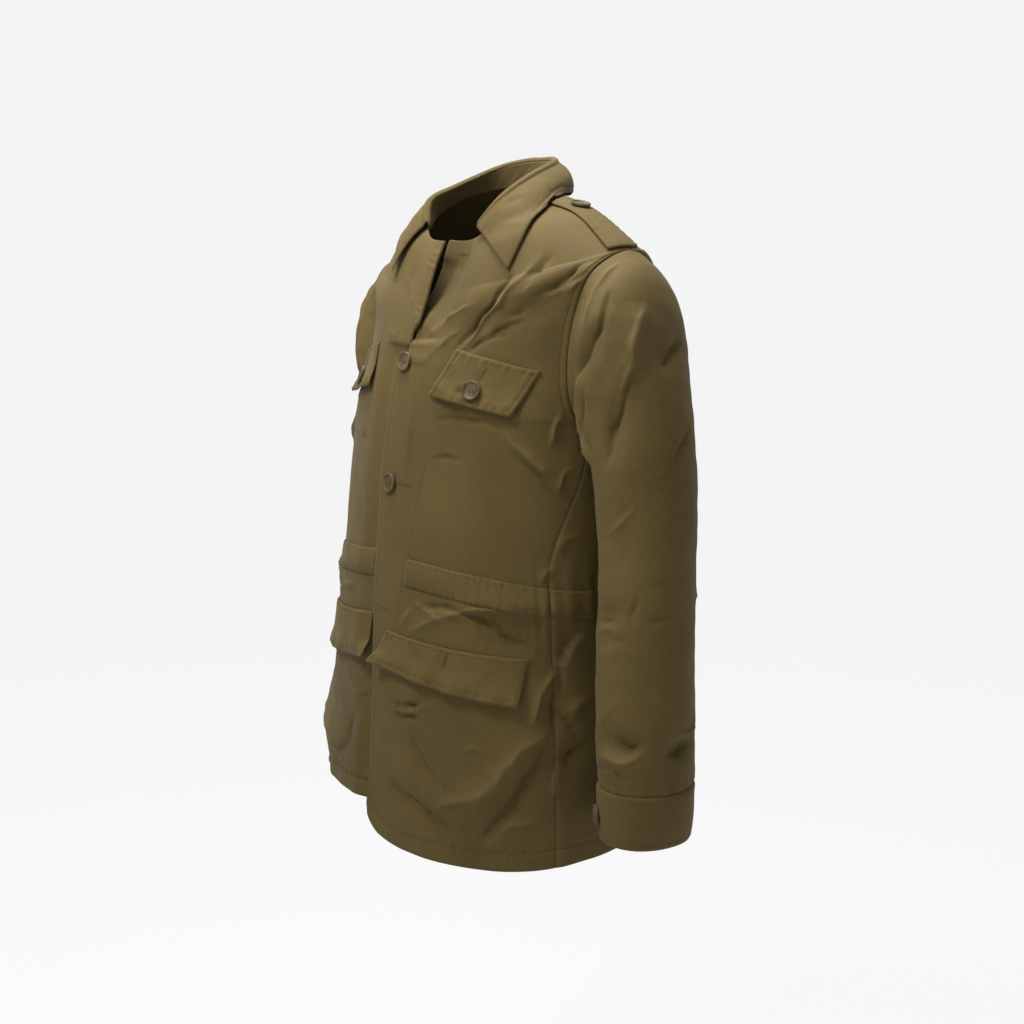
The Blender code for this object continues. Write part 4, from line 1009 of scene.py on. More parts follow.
def thread_rows(name, lines, look, pitch=0.0030, length=0.0023, thickness=0.0006, turn=0.0):
    """Stitches along lines, each a pair of points and outward directions."""
    points, ups, edges, start = [], [], [], 0
    for line, up in lines:
        points.append(line + up * thickness * 0.15)
        ups.append(up)
        edges += [(start + k, start + k + 1) for k in range(len(line) - 1)]
        start += len(line)
    mesh = bpy.data.meshes.new(name)
    mesh.from_pydata(np.concatenate(points).tolist(), edges, [])
    mesh.attributes.new("up", "FLOAT_VECTOR", "POINT").data.foreach_set(
        "vector", np.concatenate(ups).astype(np.float32).ravel())
    made = placed(name, mesh)
    sewing = made.modifiers.new("stitches", "NODES")
    sewing.node_group = STITCHES
    values = {"Pitch": pitch, "Length": length, "Thickness": thickness, "Turn": turn, "Material": look}
    for item in STITCHES.interface.items_tree:
        if item.in_out == "INPUT" and item.name in values:
            sewing[item.identifier] = values[item.name]
    return plain_mesh(made, name)


def joined(name, parts):
    """Several meshes as one object."""
    work, looks = bmesh.new(), []
    for part in parts:
        mesh = part.data
        index = len(work.faces)
        work.from_mesh(mesh)
        work.faces.ensure_lookup_table()
        for look in mesh.materials:
            if look not in looks:
                looks.append(look)
        for face in work.faces[index:]:
            face.material_index = looks.index(mesh.materials[face.material_index])
        bpy.data.objects.remove(part)
    mesh = mesh_from(work, name)
    for look in looks:
        mesh.materials.append(look)
    return placed(name, mesh)


# %% [markdown]
# ## Materials
# Shader sockets are wrapped so that they can be added and multiplied like numbers.
# The real jacket is matt olive twill, sewn in thread of nearly its colour, with brown, horn-like
# buttons. An image could give the weave, but a pattern made of nodes needs no file.

# %% Shader graph helpers
class Socket:
    def __init__(self, graph, socket):
        self.graph, self.socket = graph, socket

    def maths(self, kind, *others):
        links = {number: value for number, value in enumerate((self, *others))}
        return self.graph.node("ShaderNodeMath", links, operation=kind)

    def __add__(self, other):
        return self.maths("ADD", other)

    def __mul__(self, other):
        return self.maths("MULTIPLY", other)

    __radd__, __rmul__ = __add__, __mul__

    def scaled(self, low, high, to_low=0.0, to_high=1.0):
        """Maps the span low to high onto another span, kept within it."""
        links = {"Value": self, "From Min": low, "From Max": high, "To Min": to_low, "To Max": to_high}
        return self.graph.node("ShaderNodeMapRange", links)

    def swing(self):
        return self.maths("SINE")


class Graph:
    def __init__(self, name):
        self.material = bpy.data.materials.new(name)
        self.material.use_nodes = True
        self.tree = self.material.node_tree
        self.shader = self.tree.nodes["Principled BSDF"]

    def node(self, kind, links=None, out=0, **settings):
        """Any node. links gives its inputs by name or number and settings its properties."""
        made = self.tree.nodes.new(kind)
        for name, value in settings.items():
            setattr(made, name, value)
        for name, value in (links or {}).items():
            self.put(value, made.inputs[name])
        return Socket(self, made.outputs[out])

    def put(self, value, target):
        if isinstance(value, Socket):
            self.tree.links.new(value.socket, target)
        else:
            target.default_value = value

    def stretched(self, vector, x, y):
        return self.node("ShaderNodeMapping", {"Vector": vector, "Scale": (x, y, 1)})

    def mix(self, share, first, second):
        """One colour turning into another."""
        return self.node("ShaderNodeMix", {0: share, 6: first, 7: second}, out=2, data_type="RGBA")

    def bump(self, height, distance, strength=1.0):
        return self.node("ShaderNodeBump",
                         {"Height": height, "Distance": distance, "Strength": strength})

    def finish(self, **values):
        for name, value in values.items():
            self.put(value, self.shader.inputs[name.replace("_", " ")])
        return self.material


def shade(colour, factor):
    return tuple(min(1.0, c * factor) for c in colour[:3]) + (1.0,)


# %% Olive cloth
OLIVE = (0.078, 0.0537, 0.0157, 1.0)
THREAD = (0.098, 0.070, 0.024, 1.0)
HORN = (0.070, 0.048, 0.022, 1.0)
# Colours for a painted highlight on raised cloth and painted shade in its hollows
PAINTED_RIDGE_HIGHLIGHT, PAINTED_HOLLOW_SHADE = (0.118, 0.086, 0.030, 1.0), (0.036, 0.024, 0.007, 1.0)
PALE_SPECK, DARK_RIB = (0.122, 0.090, 0.034, 1.0), (0.046, 0.032, 0.009, 1.0)


def olive_cloth(name):
    """A dense twill: fine diagonal ribs, a faint sheen, a painted highlight on the ridges and painted shade
    in the hollows.
    """
    graph = Graph(name)
    where = graph.node("ShaderNodeTexCoord", out=3)
    cut = graph.node("ShaderNodeUVMap", uv_map="cut")
    crease = graph.node("ShaderNodeAttribute", out=2, attribute_name="crease")
    split = graph.tree.nodes.new("ShaderNodeSeparateXYZ")
    graph.put(cut, split.inputs[0])
    across, up = (Socket(graph, split.outputs[k]) for k in (0, 1))
    clouds = graph.node("ShaderNodeTexNoise", {"Vector": where, "Scale": 9.0, "Detail": 3.0})
    specks = graph.node("ShaderNodeTexNoise", {"Vector": where, "Scale": 210.0, "Detail": 2.0})
    slubs = graph.node("ShaderNodeTexNoise", {"Vector": graph.stretched(cut, 2600, 90), "Scale": 1.0})
    ribs = ((across + up * 0.6) * (2 * pi / 0.00085)).swing()
    threads = (up * (2 * pi / 0.0006)).swing() * (across * (2 * pi / 0.0006)).swing()
    # The crease heights become a painted highlight on ridges and painted shade in hollows
    painted_highlight = crease.scaled(0.3, 3.5)
    painted_shade = crease.scaled(-0.4, -3.5)
    tint = graph.mix(clouds.scaled(0.35, 0.68), shade(OLIVE, 0.93), shade(OLIVE, 1.07))
    tint = graph.mix(painted_highlight * 0.38, tint, PAINTED_RIDGE_HIGHLIGHT)
    tint = graph.mix(painted_shade * 0.42, tint, PAINTED_HOLLOW_SHADE)
    tint = graph.mix(specks.scaled(0.40, 0.70) * 0.16, tint, PALE_SPECK)
    tint = graph.mix(ribs.scaled(-1.0, 1.0) * 0.10, tint, DARK_RIB)
    normal = graph.bump(ribs * 0.5 + threads * 0.35 + slubs * 0.8, 0.00012, 0.55)
    return graph.finish(
        Base_Color=tint,
        Roughness=clouds.scaled(0.3, 0.7, 0.66, 0.76),
        Normal=normal,
        Sheen_Weight=0.05,
        Sheen_Roughness=0.42,
        Sheen_Tint=(0.80, 0.76, 0.62, 1.0),
        Specular_IOR_Level=0.12,
    )


def thread_look():
    graph = Graph("olive_thread")
    where = graph.node("ShaderNodeTexCoord", out=3)
    fibres = graph.node("ShaderNodeTexNoise", {"Vector": where, "Scale": 1400.0, "Detail": 2.0})
    tint = graph.mix(fibres.scaled(0.3, 0.7), shade(THREAD, 0.8), shade(THREAD, 1.15))
    return graph.finish(Base_Color=tint, Roughness=0.7, Normal=graph.bump(fibres, 0.0001),
                        Specular_IOR_Level=0.1)


def horn_look():
    """Buttons of streaked brown plastic, like horn."""
    graph = Graph("brown_horn_plastic")
    where = graph.node("ShaderNodeTexCoord", out=3)
    streaks = graph.node("ShaderNodeTexNoise",
                         {"Vector": graph.stretched(where, 60, 60), "Scale": 3.0, "Detail": 4.0,
                          "Distortion": 1.6})
    tint = graph.mix(streaks.scaled(0.32, 0.68), shade(HORN, 0.45), shade(HORN, 1.5))
    return graph.finish(Base_Color=tint, Roughness=streaks.scaled(0.3, 0.7, 0.5, 0.64),
                        Specular_IOR_Level=0.16,
                        Normal=graph.bump(streaks, 0.00012, 0.4))


cloth_look = olive_cloth("olive_cloth")
thread = thread_look()
horn = horn_look()
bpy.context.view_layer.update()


def middle_of(node):
    """The middle of a CAD node's box."""
    low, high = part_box(node)
    return np.array((low + high) / 2)




def kept(made, nodes=(), sheet=None):
    """Rides a finished piece on the jacket and hides the CAD nodes it stands for. The sheet it was cut from
    is not used.
    """
    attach(made, "root")
    if nodes:
        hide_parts(*nodes)
    if sheet is not None:
        outer = sheet.outer()
    return made


# %% [markdown]
# ## The body
# Two fronts and the back, folded and creased. Creases are held back near the armholes, under what
# lies on the body and where one front lies on the other.
# One mesh with seams drawn on it would do. Three pieces show the real joins at the sides.

# %% Body sheets
levels = body_levels()
base = {
    "front_left": front_sheet(levels, FRONT_STEPS, "left"),
    "front_right": front_sheet(levels, FRONT_STEPS, "right"),
    "back": back_sheet(levels, BACK_STEPS),
}
CORNER = 0.026  # radius of the left front's lower corner
sheet = base["front_left"]
inward = np.clip(np.abs(sheet[..., 0] - sheet[:, :1, 0]) / CORNER, 0, 1)
corner_lift = CORNER * (1 - np.sqrt(1 - (1 - inward) ** 2))
sheet[..., 2] += corner_lift * (1 - ramp(sheet[..., 2] - sheet[:1, :, 2], 0, 0.070))
out = {name: normals_of(sheet) for name, sheet in base.items()}
open_rows = np.arange(len(levels))
sewn = (open_rows <= LOW_STEPS) | (open_rows >= LOW_STEPS + ARM_STEPS)
SEAMS = (("front_left", -1, 0), ("front_right", 0, -1))  # a front's and the back's columns there
for name, column, back_column in SEAMS:
    shared = unit(out[name][sewn, column] + out["back"][sewn, back_column])
    out[name][sewn, column] = shared
    out["back"][sewn, back_column] = shared
NECK_EDGE_LIFT = 0.010  # the left front's neck edge stands up where it turns inwards
share = ramp(levels, NECK - 1.1, NECK)[:, None] * (1 - ramp(base["front_left"][..., 0], 0.026, 0.046))
base["front_left"][..., 2] += NECK_EDGE_LIFT * share
body = {name: Cloth(name, base[name], out[name], BODY_WALL) for name in base}
body_points = np.concatenate([sheet.reshape(-1, 3) for sheet in base.values()])
body_normals = np.concatenate([sheet.reshape(-1, 3) for sheet in out.values()])
body_tree = tree_of(body_points)
loop = armhole(np.linspace(0, 10, 97))


def from_lines(points, lines, reach):
    """How far each point is from the nearest of these lines, up to reach."""
    flat = points.reshape(-1, 3)
    away = np.full(len(flat), reach)
    for line in lines:
        near, way, _ = near_line(flat, line, reach)
        away[near] = np.minimum(away[near], np.linalg.norm(way, axis=1))
    return away.reshape(points.shape[:-1])


def from_points(points, others, reach):
    """How far each point is from the nearest of others, up to reach."""
    tree = tree_of(others)
    low, high = others.min(0) - reach, others.max(0) + reach
    flat = points.reshape(-1, 3)
    near = np.flatnonzero(((flat > low) & (flat < high)).all(1))
    away = np.full(len(flat), reach)
    for k in near:
        away[k] = min(reach, tree.find(flat[k])[2])
    return away.reshape(points.shape[:-1])


for cloth in body.values():
    cloth.armhole = from_lines(cloth.base, (loop, slope(mirrored(loop))), 0.040)
    folds = raised(cloth.base, BODY_FOLDS, body_tree, body_normals, 0.0)
    cloth.fold += folds * ramp(cloth.armhole, 0.0, 0.020)
    cloth.crease += cloth.fold * 0.25
print("body grids:", {name: cloth.base.shape[:2] for name, cloth in body.items()})

# %% Where the flaps, channel and straps lie
flap_places = {}
for name, x0, z0, x1, z1, x2, z2, x3, z3, belly in FLAPS:
    side = name.split("_")[1]
    u = np.linspace(0, 1, FLAP_STEPS[0] + 1)[None, :]
    v = np.linspace(0, 1, FLAP_STEPS[1] + 1)[:, None]
    x = (x0 * (1 - u) + x1 * u) * (1 - v) + (x2 * (1 - u) + x3 * u) * v
    z = (z0 * (1 - u) + z1 * u) * (1 - v) + (z2 * (1 - u) + z3 * u) * v
    flap_places[name] = find_place(body["front_" + side].outer(), x if side == "left" else -x, z)
channel_rows = [level / ARMPIT * LOW_STEPS for level in CHANNEL_LEVELS]


def channel_places(name):
    """Row and column numbers of a channel strip on its sheet."""
    sheet = body[name].base
    columns = np.arange(sheet.shape[1]).astype(float)
    if name != "back":
        row = int(round(sum(channel_rows) / 2))
        across = sheet[row, :, 0] if name == "front_left" else -sheet[row, ::-1, 0]
        start = np.interp(CHANNEL_START[name.split("_")[1]], across, columns)
        kept_columns = np.concatenate([[start], columns[columns > start + 0.3]])
        columns = kept_columns if name == "front_left" else columns[-1] - kept_columns[::-1]
    i = np.linspace(*channel_rows, CHANNEL_STEPS + 1)[:, None]
    return i + 0 * columns[None, :], columns[None, :] + 0 * i


straps = {}
for side in ("left", "right"):
    rows = []
    ends = [row[1:] for row in STRAP_ROWS]
    for level, near, far in through(ends, np.linspace(0, 1, STRAP_STEPS[0] + 1)):
        front_line, back_line = half_lines(level)
        whole = np.concatenate([front_line, back_line[1:]])
        seam = lengths(front_line)[-1]
        rows.append(at_length(whole, seam + np.linspace(near, far, STRAP_STEPS[1] + 1)))
    strap = np.array(rows)
    if side == "right":
        strap = slope(mirrored(strap)[:, ::-1])
    straps[side] = (strap, normals_of(strap))
print("on the body:", [*flap_places, *straps])

# %% Creases of the body
lying = [at_place(body["front_" + name.split("_")[1]].outer(), *ij).reshape(-1, 3)
         for name, ij in flap_places.items()]
lying += [strap.reshape(-1, 3) for strap, _ in straps.values()]
FRONT_BUTTON_REACH = 0.012
button_spots = np.array([middle_of("button_" + name) for name in ("first", "second")])
dots = np.array([(cos(t), 0, sin(t)) for t in np.linspace(0, 2 * pi, 12, endpoint=False)])
reaches = (0.0, FRONT_BUTTON_REACH / 2, FRONT_BUTTON_REACH)
lying += [spot + dots * r for spot in button_spots for r in reaches]
lying = np.concatenate(lying)
right_front = echoed([(t, w, mirrored(line)) for t, w, line in FRONT_CREASES], 5)
right_back = echoed([(t, w, mirrored(line)) for t, w, line in BACK_CREASES], 8, 0.9)
body_creases = [*FRONT_CREASES, *BACK_CREASES, *right_front, *right_back]
for number, cloth in enumerate(body.values()):
    points = cloth.base
    quiet = 0.15 + 0.85 * ramp(from_points(points, lying, 0.014), 0.0, 0.006)
    fine = raised(points, body_creases, body_tree, body_normals, PRESSED, BODY_GAIN)
    fine += 0.0007 * wander(points, 0.050, 11) + 0.00035 * wander(points, 0.020, 12)
    low, high = (at_place(cloth.from_low[..., None], np.array([row]), np.array([0.0]))[0, 0]
                 for row in channel_rows)
    middle = int(round(sum(channel_rows) / 2))
    away = np.maximum(np.maximum(low - cloth.from_low, cloth.from_low - high), 0)
    from_side = np.abs(points[middle, :, 0])
    if cloth.name == "back":
        strength = 0.0010 + 0.0004 * ramp(from_side, 0.10, 0.19)
    else:
        strength = 0.0001 + 0.0009 * ramp(from_side, 0.15, 0.19)
        strength = strength * ramp(from_side, 0.020, 0.045)
    puckers = beat(cloth.from_start[middle], 0.0150, 21 + number)
    gathered = (strength * puckers)[None, :] * np.exp(-away / 0.020)
    fine = fine * quiet * ramp(cloth.armhole, 0.0, 0.010)
    if cloth.name == "front_right":
        fine *= 1 - 0.75 * ramp(points[..., 2], -0.290, -0.200)
    hem = beat(cloth.from_start, 0.075, 31) * (1 - ramp(cloth.from_low, 0.0, 0.060))
    fine += gathered + 0.0011 * hem
    if cloth.name != "back":
        apart = ramp(np.abs(points[..., 0]), OVERLAP + 0.003, OVERLAP + 0.016) * 0.02
        over = (points[..., 2] < CROSSING_Z) == (cloth.name == "front_left")
        fine = np.where(over, np.maximum(fine, -0.0005 - apart), np.minimum(fine, 0.0003 + apart))
        near_crossing = 1 - ramp(np.abs(points[..., 2] - CROSSING_Z), 0.006, 0.016)
        fine *= 1 - near_crossing * (apart < 0.01)
    if cloth.name == "front_left":  # its edge turns in towards the wearer near the neck
        turned_in = ramp(points[..., 2], -0.150, -0.070) * (1 - ramp(points[..., 0], 0.014, 0.068))
        # This sinking also goes into crease, so the material paints shade over this zone, standing in for
        # the shadow under the right front's edge
        fine -= 0.0115 * turned_in
    if cloth.name == "front_right":  # and this one hangs smooth and free of it there
        free = ramp(points[..., 2], -0.150, -0.085) * ramp(points[..., 0], -0.035, -0.005)
        fine += 0.0030 * free
    cloth.fold += fine
    cloth.crease += fine
    edge = "start" if cloth.name == "front_left" else "end"
    seam = "end" if cloth.name == "front_left" else "start"
    if cloth.name == "back":
        cloth.roll("low", deep=0.0006, wide=0.0020)
        cloth.roll("start", "end", deep=0.0003, wide=0.0018)
        cloth.sink_row("low", HEM_ROW, 41, groove=0.0011)
    else:
        cloth.roll(edge, "low", deep=0.0006, wide=0.0020)
        cloth.roll(seam, deep=0.0003, wide=0.0018)
        cloth.sink_row("low", HEM_ROW, 42, groove=0.0011)
        cloth.sink_row(edge, EDGE_ROW, 43, groove=0.0005)
        cloth.sink_row(seam, 0.0070, 44, only=(cloth.armhole < 0.030) * ramp(cloth.from_low, 0.3, 0.4))
print("creases on the body:", len(body_creases))

# %% Body shells
def seam_back(sheet, column, rows):
    """Draws one column of a sheet back from the seam by half the gap."""
    edge = sheet[rows, column]
    towards = unit(sheet[rows, column - 1 if column == -1 else column + 1] - edge)
    sheet[rows, column] = edge + towards * SEAM_GAP / 2


for name, column, back_column in SEAMS:
    seam_back(body[name].base, column, sewn)
    seam_back(body["back"].base, back_column, sewn)
tops = {name: cloth.outer() for name, cloth in body.items()}

# %% [markdown]
# ## Sleeves and cuffs
# The sleeves' creases fade near the body, and the cloth is eased into the armhole and the cuff.
# A real sleeve is a tube sewn in there. A bent cylinder would come close, but rings along the arm
# follow the solids' own.

# %% Sleeve and cuff sheets
top_points = np.concatenate([top.reshape(-1, 3) for top in tops.values()])
arms = {}
for side in ("left", "right"):
    sheet = sleeve_sheet(SLEEVE_RINGS, SLEEVE_SIDES, side)
    normals = normals_of(sheet, tube=True)
    sleeve = Cloth("sleeve_" + side, sheet, normals, SLEEVE_WALL, tube=True)
    tree, flat = tree_of(sheet.reshape(-1, 3)), normals.reshape(-1, 3)
    folds = LEFT_SLEEVE_FOLDS if side == "left" else RIGHT_SLEEVE_FOLDS
    rows = np.linspace(0, 1, SLEEVE_RINGS)[:, None]
    ends = ramp(rows, 0, 0.12) * (1 - ramp(rows, 0.94, 1))
    sleeve.fold += raised(sheet, folds, tree, flat, 0.0) * ends
    sleeve.crease += sleeve.fold * 0.25
    creases = SLEEVE_CREASES
    if side == "right":
        turned = [(t, w, slope(mirrored(line))) for t, w, line in SLEEVE_CREASES]
        creases = echoed([(t, w, line + np.array([0.018, 0.055, 0.0]) * ramp(-line[:, 2:], 0.12, 0.35))
                          for t, w, line in turned], 9, 0.92)
    fine = raised(sheet, creases, tree, flat, PRESSED, SLEEVE_GAIN)
    fine += 0.0006 * wander(sheet, 0.045, 51) + 0.0003 * wander(sheet, 0.018, 52)
    clear = 0.1 + 0.9 * ramp(from_points(sheet, top_points, 0.016), 0.001, 0.012)
    wrist = ramp(sleeve.from_high, 0.0, 0.012)
    fine = fine * clear * wrist * ramp(sleeve.from_low, 0.004, 0.020)
    eased = beat(sleeve.from_start[2], 0.0170, 53)[None, :] * 0.0006 * np.exp(-sleeve.from_low / 0.014)
    pleats = beat(sleeve.from_start[-3], 0.0160, 54)[None, :] * 0.0009
    pleats = pleats * np.exp(-sleeve.from_high / 0.018)
    fine += (eased + pleats) * ramp(sleeve.from_low, 0.001, 0.006) * ramp(sleeve.from_high, 0.0, 0.004)
    sleeve.fold += fine
    sleeve.crease += fine
    for part in (sleeve.fold, sleeve.crease):
        part[:, -1] = part[:, 0]
    sleeve.roll("low", "high", deep=0.0006, wide=0.0020)
    inner = sleeve.inner()
    inner[0] = sheet[0] + unit(sheet[0, :-1].mean(0) - sheet[0]) * SLEEVE_WALL
    arms["sleeve_" + side] = (sleeve, inner)

    sheet = cuff_sheet(CUFF_RINGS, SLEEVE_SIDES, side)
    cuff = Cloth("cuff_" + side, sheet, normals_of(sheet, tube=True), SLEEVE_WALL + 0.0006, tube=True)
    soft = 0.0004 * wander(sheet, 0.030, 55) * ramp(cuff.from_low, 0, 0.01)
    soft[:, -1] = soft[:, 0]
    cuff.fold += np.minimum(soft, 0.0004)
    for edge, off in CUFF_ROWS:
        cuff.sink_row(edge, off, 56, pucker=0.0002, groove=0.0006)
    cuff.skin[:, -1], cuff.crease[:, -1] = cuff.skin[:, 0], cuff.crease[:, 0]
    cuff.roll("low", "high", deep=0.0011, wide=0.0028)
    arms["cuff_" + side] = (cuff, None)

# %% [markdown]
# ## Flaps, channel and straps
# Each lies on the creased cloth under it. The free edges of a flap stand off a little.
# A Shrinkwrap modifier could lay them down. Here each point is set off the cloth by a small gap.

# %% Layers
layers = {}
for name, *_, belly in FLAPS:
    side = name.split("_")[1]
    under = body["front_" + side]
    ground = at_place(tops[under.name], *flap_places[name])
    normals = unit(at_place(under.normals, *flap_places[name]))
    v = np.linspace(0, 1, FLAP_STEPS[1] + 1)[:, None]
    ground = ground + normals * (belly * ramp(v, 0.0, 1.3) * np.ones(FLAP_STEPS[0] + 1))[..., None]
    if side == "right":
        ground, normals = ground[:, ::-1], normals[:, ::-1]
    ground, normals = ground[::-1], normals[::-1]
    flap = Cloth("flap_" + name, ground + normals * (LAY_GAP + FLAP_WALL), normals, FLAP_WALL)
    free = 1 - ramp(flap.from_low, 0.0, 0.030)
    near_ends = 1 - ramp(np.minimum(flap.from_start, flap.from_end), 0.0, 0.022)
    lift = 0.0011 * (1 + beat(flap.from_start, 0.055, 61 + len(layers))) * free
    lift += 0.0016 * near_ends * free
    front_end = flap.from_start if side == "left" else flap.from_end
    if name.startswith("hip"):
        lift += 0.0060 * (1 - ramp(front_end, 0.0, 0.030)) * (1 - ramp(flap.from_low, 0.0, 0.022))
    if name.startswith("chest"):
        spot = middle_of("button_" + name)
        away = np.linalg.norm(flap.base - spot, axis=-1)
        lift = lift * ramp(away, 0.012, 0.026)
        off = flap.base - spot
        dimple = beat(np.arctan2(off[..., 2], off[..., 0]) / (2 * pi), 0.26, 64)
        flap.skin += (0.0006 * dimple - 0.0004) * np.exp(-(((away - 0.014) / 0.008) ** 2))
    lift += 0.00045 * (1.6 + wander(flap.base, 0.030, 62)) * ramp(flap.from_high, 0.0, 0.012) * free
    flap.fold += np.maximum(lift, 0)
    flap.skin += 0.00035 * wander(flap.base, 0.014, 63)
    for edge in ("start", "end", "low"):
        inside = (np.minimum(flap.from_start, flap.from_end) > 0.0045) | (edge != "low")
        flap.sink_row(edge, FLAP_ROW, 65, pucker=0.0003, groove=0.0007, only=inside)
    flap.sink_row("high", 0.0040, 66, pucker=0.0003, groove=0.0006)
    flap.roll("start", "end", "low", "high", deep=0.0011, wide=0.0028)
    layers[flap.name] = flap

for name in body:
    ij = channel_places(name)
    ground, normals = at_place(tops[name], *ij), unit(at_place(body[name].normals, *ij))
    strip = Cloth("channel_" + name, ground + normals * (LAY_GAP + CHANNEL_WALL), normals, CHANNEL_WALL)
    across = np.minimum(strip.from_low, strip.from_high)
    puckers = beat(strip.from_start, 0.0130, 67) * ramp(across, 0.001, 0.008)
    puckers = puckers * (0.04 + 0.96 * ramp(np.abs(strip.base[..., 0]), 0.155, 0.195))
    strip.fold += 0.0006 * ramp(across, 0.004, 0.012) + 0.0004 * np.maximum(puckers, -0.5)
    strip.crease += 0.0006 * puckers
    for edge in ("low", "high"):
        strip.sink_row(edge, CHANNEL_ROW, 68, pucker=0.0003, groove=0.0006)
    strip.roll("low", "high", "start", "end", deep=0.0008, wide=0.0022)
    layers[strip.name] = strip

for side, (sheet, normals) in straps.items():
    strap = Cloth("shoulder_strap_" + side, sheet + normals * (STRAP_GAP + STRAP_WALL), normals, STRAP_WALL)
    spot = middle_of("button_strap_" + side)
    away = ramp(np.linalg.norm(strap.base - spot, axis=-1), 0.011, 0.022)
    strap.fold += 0.0005 * np.maximum(wander(strap.base, 0.030, 71) + 0.6, 0) * away
    for edge in ("start", "end", "low"):
        strap.sink_row(edge, STRAP_ROW, 72, pucker=0.0003, groove=0.0007)
    strap.roll("start", "end", "low", "high", deep=0.0011, wide=0.0028)
    layers[strap.name] = strap
print("layers:", list(layers))

# %% [markdown]
# ## The collar
# The stand rises from the neck. The leaf turns over it in a small round fold and lies on whatever is
# under it, one leaf's gap clear.
# One folded sheet would do, but a real collar is a stand and a leaf sewn together.

# %% Collar sheets
neck, below = (np.concatenate([a, b[1:]]) for a, b in (half_lines(NECK), half_lines(NECK - 0.15)))
halves = []
for side in ("left", "right"):
    rows = [row[1:] for row in COLLAR_ROWS[side]]
    half = through(rows, np.linspace(0, len(rows) - 1, COLLAR_STEPS + 1))
    places = half[:, 0] * lengths(neck)[-1]
    sewn_to = at_length(neck, places)
    rising = unit(sewn_to - at_length(below, half[:, 0] * lengths(below)[-1]))
    onward = unit(at_length(neck, places + 0.002) - at_length(neck, places - 0.002))
    facing = unit(np.cross(onward, rising))
    foot = sewn_to + rising * (SEAM_GAP + 0.0026) - facing * (COLLAR_WALL + 0.0008)
    halves.append(np.concatenate([foot, facing, half[:, 1:]], 1))
half = np.concatenate([halves[0], (halves[1] * np.array([-1, 1, 1] * 4 + [1.0]))[-2::-1]])
foot, facing, fold, rim, bulge = half[:, 0:3], half[:, 3:6], half[:, 6:9], half[:, 9:12], half[:, 12:]
turning = np.gradient(fold, axis=0)
outward = unit(np.stack([turning[:, 1], -turning[:, 0], 0 * turning[:, 0]], 1))
up = np.array([0, 0, 1.0])
stand_top = fold - outward * FOLD_RADIUS - up * FOLD_RADIUS
stand = np.array([foot + (stand_top - foot) * share for share in np.linspace(0, 1, STAND_STEPS + 1)])
stand[-1] -= unit(stand_top - foot) * SEAM_GAP
leaf = []
for turn in np.linspace(0, 1, TURN_STEPS + 1):
    leaf.append(fold - up * FOLD_RADIUS + (up * sin(turn * pi) - outward * cos(turn * pi)) * FOLD_RADIUS)
for share in np.linspace(0, 1, LEAF_STEPS + 1)[1:]:
    leaf.append(leaf[TURN_STEPS] + (rim - leaf[TURN_STEPS]) * share
                + unit(outward + up * 0.4) * bulge * sin(share * pi))
leaf = np.array(leaf)
on_top = [layers["shoulder_strap_" + side] for side in straps]
ground = np.concatenate([top_points, *(strap.outer().reshape(-1, 3) for strap in on_top)])
ground_normals = np.concatenate([body_normals, *(strap.normals.reshape(-1, 3) for strap in on_top)])
ground_tree = tree_of(ground)


def lifted(sheet, first, clear, spread):
    """Raises the rows from first on until they lie this far clear of the ground."""
    numbers = np.array([[ground_tree.find(point)[1] for point in row] for row in sheet[first:]])
    away = ((sheet[first:] - ground[numbers]) * ground_normals[numbers]).sum(-1)
    lift = np.maximum(0.0, clear - away)
    window = np.hanning(2 * spread + 3)[1:-1]
    window /= window.sum()
    soft = np.array([np.convolve(np.pad(row, spread, mode="edge"), window, "valid") for row in lift])
    soft = np.array([np.convolve(np.pad(row, 3, mode="edge"), np.full(7, 1 / 7), "valid")
                     for row in np.maximum(soft, lift).T]).T
    lift = np.maximum(soft, lift)
    outwards = ground_normals[numbers]
    for _ in range(4):
        padded = np.pad(outwards, ((1, 1), (1, 1), (0, 0)), mode="edge")
        outwards = unit(padded[:-2, 1:-1] + padded[2:, 1:-1] + padded[1:-1, :-2] + padded[1:-1, 2:])
    sheet[first:] += outwards * lift[..., None]


lifted(leaf, TURN_STEPS, COLLAR_WALL + LEAF_GAP, 7)
stand_out, leaf_out = normals_of(stand), normals_of(leaf)
stand_out[0] = facing
leaf_out[0] = stand_out[-1]
stand_cloth = Cloth("collar_stand", stand, -stand_out, COLLAR_WALL)
leaf_cloth = Cloth("collar_leaf", leaf, -leaf_out, COLLAR_WALL)
drop = np.maximum(leaf_cloth.from_low - pi * FOLD_RADIUS, 0)
fine = raised(leaf, COLLAR_CREASES, tree_of(leaf.reshape(-1, 3)), leaf_cloth.normals.reshape(-1, 3), 0.3)
fine += 0.0006 * wander(leaf, 0.035, 81) + 0.00025 * wander(leaf, 0.014, 82)
leaf_cloth.fold += np.maximum(fine, -0.0008) * ramp(drop, 0.0, 0.010)
leaf_cloth.crease += fine * ramp(drop, 0.0, 0.010)
for edge in ("start", "end", "high"):
    leaf_cloth.sink_row(edge, 0.0060, 83, pucker=0.0003, groove=0.0007, only=drop > 0.004)
leaf_cloth.roll("start", "end", "high", deep=0.0012, wide=0.0030)
stand_cloth.skin += 0.0003 * wander(stand, 0.030, 84)
for off in (0.0040, 0.0100, 0.0160, 0.0220):
    stand_cloth.sink_row("low", off, 85, pucker=0.0002, groove=0.0004)
stand_cloth.roll("start", "end", deep=0.0008, wide=0.0025)
print("collar grids:", stand_cloth.base.shape[:2], leaf_cloth.base.shape[:2])

# %% [markdown]
# ## Building the cloth
# Each sheet becomes a shell that stands for its CAD node.

